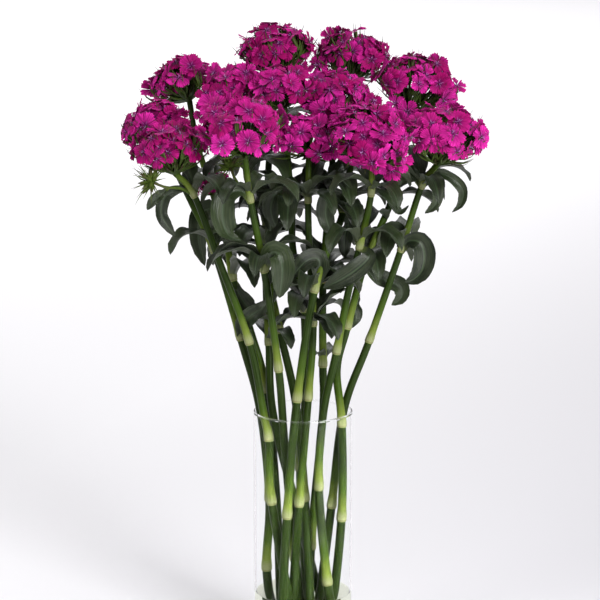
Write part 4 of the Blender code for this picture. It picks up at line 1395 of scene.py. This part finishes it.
def leaf_look():
    """Dark green with a pale midrib, fine parallel veins and a dull waxy bloom."""
    look = Look("leaf_green", Specular_IOR_Level=0.36, Sheen_Weight=0.05, Sheen_Roughness=0.5,
                Sheen_Tint=(0.75, 0.95, 0.8, 1))
    along = look.value("along")
    across = look.value("across")
    tint = look.value("tint")
    veins = look.streaks(1.5, 2.0, 9.0, 0.7, 19.0)
    patches = look.noise(60.0, 3.0)
    body = look.mix(tint, LEAF_DARK, LEAF_FRESH)
    body = look.mix(look.share(veins, 0.42, 0.66, 0.0, 0.45), body, LEAF_VEIN)
    body = look.mix(look.share(patches, 0.45, 0.8, 0.0, 0.3), body, LEAF_GREY)
    rib = look.share(look.math("ABSOLUTE", across), 0.03, 0.12, 0.65, 0.0)
    body = look.mix(rib, body, LEAF_RIB)
    foot = look.share(along, 0.0, 0.14, 0.75, 0.0)
    body = look.mix(foot, body, STEM_FRESH)
    below = look.math("MULTIPLY", look.value("pale"), 0.45)
    look.colour(look.mix(below, body, LEAF_GREY))
    look.roughness(look.share(patches, 0.3, 0.8, 0.28, 0.42))
    look.bump(veins, 0.6, 0.0009)
    return look.material


def stem_look():
    """Green from dark to yellow, with fine ribs along it and a pale waxy knob at joints."""
    look = Look("stem_green", Specular_IOR_Level=0.07)
    pale = look.value("pale")
    ribs = look.streaks(2.2, 2.0, 14.0)
    blotches = look.noise(120.0, 3.0)
    body = look.steps(pale, ((0.0, STEM_DARK), (0.3, STEM_MIDDLE), (0.62, STEM_FRESH),
                             (0.88, STEM_KNOB), (1.0, STEM_RING)))
    body = look.mix(look.share(ribs, 0.4, 0.7, 0.0, 0.35), body, STEM_STREAK)
    body = look.mix(look.share(blotches, 0.55, 0.75, 0.0, 0.2), body, LEAF_GREY)
    look.colour(body)
    look.roughness(look.share(ribs, 0.3, 0.7, 0.26, 0.38))
    look.bump(ribs, 0.35, 0.0005)
    return look.material


def calyx_look():
    """Fresh green calyxes and bracts that turn maroon towards their tips."""
    look = Look("calyx_green", Specular_IOR_Level=0.15)
    along = look.value("along")
    tint = look.value("tint")
    pale = look.value("pale")
    grain = look.noise(500.0, 2.0)
    green = look.mix(pale, CALYX_DARK, CALYX_FRESH)
    tip = look.math("MULTIPLY", look.share(along, 0.45, 1.0), look.share(tint, 0.2, 0.8, 0.3, 1.0))
    body = look.mix(tip, green, CALYX_MAROON)
    look.colour(look.mix(look.share(grain, 0.4, 0.8, 0.0, 0.35), body, CALYX_DARK))
    look.roughness(look.share(grain, 0.3, 0.7, 0.42, 0.6))
    look.bump(grain, 0.3, 0.0003)
    return look.material


def clear_look(name, ior, tone, coat_weight, coat_ior, wave_scale, wave_height):
    """Clear solid that lets light through without a hard shadow, with slow ripples in it."""
    look = Look(name, Transmission_Weight=1.0, IOR=ior, Roughness=0.0, Coat_Weight=coat_weight,
                Coat_IOR=coat_ior, Coat_Roughness=0.0, Base_Color=(*tone, 1.0))
    look.bump(look.noise(wave_scale, 1.0), 0.12, wave_height)
    ray = look.node("ShaderNodeLightPath").outputs["Is Shadow Ray"]
    pass_through = look.node("ShaderNodeBsdfTransparent", {"Color": (*tone, 1.0)})
    blend = look.node("ShaderNodeMixShader")
    look.feed(blend.inputs[0], ray)
    look.feed(blend.inputs[1], look.shader.outputs[0])
    look.feed(blend.inputs[2], pass_through.outputs[0])
    look.feed(look.tree.nodes["Material Output"].inputs["Surface"], blend.outputs[0])
    return look.material


def floor_look():
    """Plain pale floor with painted shade that makes it a little darker towards its near right."""
    look = Look("floor_pale", Roughness=0.9, Specular_IOR_Level=0.0)
    apart = look.node("ShaderNodeSeparateXYZ", {"Vector": look.place()})
    far = look.math("MULTIPLY", apart.outputs["Y"], 0.35)
    shade_towards_right = look.math("SUBTRACT", apart.outputs["X"], far)
    look.colour(look.mix(look.share(shade_towards_right, -0.6, 0.26), FLOOR_LIGHT, FLOOR_PAINTED_SHADE))
    return look.material


def add_turned(name, profile, sides, surfaces, node, slot, rim_from=math.inf):
    """Solid of revolution from (radius, height) points that start and end on the axis.

    Faces above the height rim_from take the second surface.
    """
    piece = Piece()
    for _, z in (profile[0], profile[-1]):
        piece.point(Vector((0, 0, z)))
    rings = profile[1:-1]
    for r, z in rings:
        for k in range(sides):
            angle = 2 * math.pi * k / sides
            piece.point(Vector((r * math.cos(angle), r * math.sin(angle), z)))
    for k in range(sides):
        n = (k + 1) % sides
        piece.face((0, 2 + n, 2 + k))
        for i in range(len(rings) - 1):
            a = 2 + i * sides
            b = a + sides
            lower = min(rings[i][1], rings[i + 1][1])
            piece.face((a + k, a + n, b + n, b + k), int(lower > rim_from))
        last = 2 + (len(rings) - 1) * sides
        piece.face((1, last + k, last + n))
    piece.build(name, surfaces, node, slot)


def rounded(corner, radius, start, stop, steps=5):
    """Points on an arc about corner, from the angle start to stop in degrees."""
    turns = [math.radians(start + (stop - start) * k / steps) for k in range(steps + 1)]
    return [(corner[0] + radius * math.cos(turn), corner[1] + radius * math.sin(turn))
            for turn in turns]


def dress_vase():
    """Clear cylinder with a fire-polished rim and a softly rounded thick base."""
    inner = VASE_RADIUS - GLASS
    lip = GLASS / 2
    profile = [(0, 1.0), (VASE_RADIUS - 14, 1.0), (VASE_RADIUS - 9, 0.35), (VASE_RADIUS - 6, 0.0)]
    profile += rounded((VASE_RADIUS - 3, 3), 3, -90, 0)
    heights = (40, 100, 160, 220, VASE_HEIGHT - RIM_DEPTH)
    profile += [(VASE_RADIUS, z) for z in heights]
    profile += rounded((VASE_RADIUS - lip, VASE_HEIGHT - lip), lip, 0, 180, 10)
    profile += [(inner, z) for z in reversed(heights)]
    profile += rounded((inner - 5, VASE_FLOOR + 5), 5, 0, -90)
    profile += [(0, VASE_FLOOR)]
    glass = clear_look("glass_clear", 1.03, GLASS_TONE, 0.13, 1.3, 9.0, 0.0001)
    rim = clear_look("glass_rim", 1.14, GLASS_TONE, 1.0, 1.55, 9.0, 0.0002)
    add_turned("vase_clear", profile, 144, [glass, rim], "vase", "clear_glass",
               VASE_HEIGHT - RIM_DEPTH - 0.1)


def dress_water():
    """The water, drawn up a little where it meets the glass."""
    edge = VASE_RADIUS - GLASS + 0.05
    bottom = VASE_FLOOR + 0.2
    profile = [(0, bottom), (edge - 5.5, bottom)]
    profile += rounded((edge - 5.2, bottom + 5.2), 5.2, -90, 0)
    profile += [(edge, WATER_LEVEL + 1.0), (edge - 0.6, WATER_LEVEL + 0.5),
                (edge - 1.6, WATER_LEVEL + 0.15), (edge - 3.2, WATER_LEVEL),
                (edge - 12, WATER_LEVEL), (0, WATER_LEVEL)]
    water = clear_look("water_clear", 1.05, WATER_TONE, 0.4, 1.33, 14.0, 0.0003)
    add_turned("water_fill", profile, 128, [water], "water", "water")


def dress_plants():
    petal_surfaces = [petal_look(), stamen_look()]
    leaf = leaf_look()
    stem = stem_look()
    calyx = calyx_look()
    draw = random.Random(FINE_SEED)
    greens = {}
    for name, spec in STEMS.items():
        greens[name] = dress_head(name, spec, petal_surfaces, draw)
        dress_stem(name, spec, stem)
    late = dress_head("14", LATE_FINE, petal_surfaces, draw)
    base, axis, radius = head_place(LATE_FINE)
    add_thread(late, LATE_STALK + [base - axis * (0.6 * radius)], ((0, 1.6), (1, 1.3)), 8, 0.5,
               0.3)
    late.build("calyx_14", [calyx], "stem_03", "stem_and_leaf")
    for stem_name, points, radius in SHOOTS:
        add_bud_cluster(greens[stem_name], points, radius, draw)
    for name, piece in greens.items():
        piece.build("calyx_" + name, [calyx], "stem_" + name, "stem_and_leaf")
    leaves, trees = plan_leaves()
    dress_leaves(leaves + pair_leaves(MORE_PAIRS, trees, draw), leaf, draw)


def add_camera():
    data = bpy.data.cameras.new("camera")
    data.sensor_width = 36.0
    data.lens = CAMERA_LENS
    data.clip_start = 0.05
    data.clip_end = 80.0
    camera = placed("camera", data)
    camera.location = CAMERA_PLACE
    camera.rotation_euler = (math.radians(90 - CAMERA_DOWN), 0, 0)
    bpy.context.scene.camera = camera


def add_light(name, place, look_at, width, height, power):
    data = bpy.data.lights.new(name, "AREA")
    data.shape = "RECTANGLE"
    data.size = width
    data.size_y = height
    data.energy = power
    lamp = placed(name, data)
    lamp.location = place
    aim = Vector(look_at) - Vector(place)
    lamp.rotation_euler = aim.to_track_quat("-Z", "Y").to_euler()


def add_floor():
    mesh = bpy.data.meshes.new("floor")
    corners = [(x * FLOOR_HALF, y * FLOOR_HALF, 0) for x, y in ((-1, -1), (1, -1), (1, 1), (-1, 1))]
    mesh.from_pydata(corners, [], [(0, 1, 2, 3)])
    mesh.materials.append(floor_look())
    placed("floor", mesh)


def add_surroundings():
    """Pale room that is brighter towards its top."""
    world = bpy.data.worlds.new("pale_room")
    world.use_nodes = True
    tree = world.node_tree
    sky = tree.nodes["Background"]
    height = tree.nodes.new("ShaderNodeSeparateXYZ")
    tree.links.new(tree.nodes.new("ShaderNodeTexCoord").outputs["Generated"], height.inputs[0])
    ramp = tree.nodes.new("ShaderNodeMapRange")
    ramp.interpolation_type = "SMOOTHSTEP"
    for socket, value in (("From Min", 0.05), ("From Max", 0.95), ("To Min", SKY_LOW),
                          ("To Max", SKY_HIGH)):
        ramp.inputs[socket].default_value = value
    tree.links.new(height.outputs["Z"], ramp.inputs["Value"])
    tree.links.new(ramp.outputs["Result"], sky.inputs["Strength"])
    sky.inputs["Color"].default_value = (*SKY_TONE, 1)
    bpy.context.scene.world = world
    bpy.context.scene.view_settings.view_transform = "Standard"


add_camera()
dress_vase()
dress_water()
dress_plants()
add_floor()
add_surroundings()
for light_name, light in LIGHTS.items():
    add_light(light_name, *light)
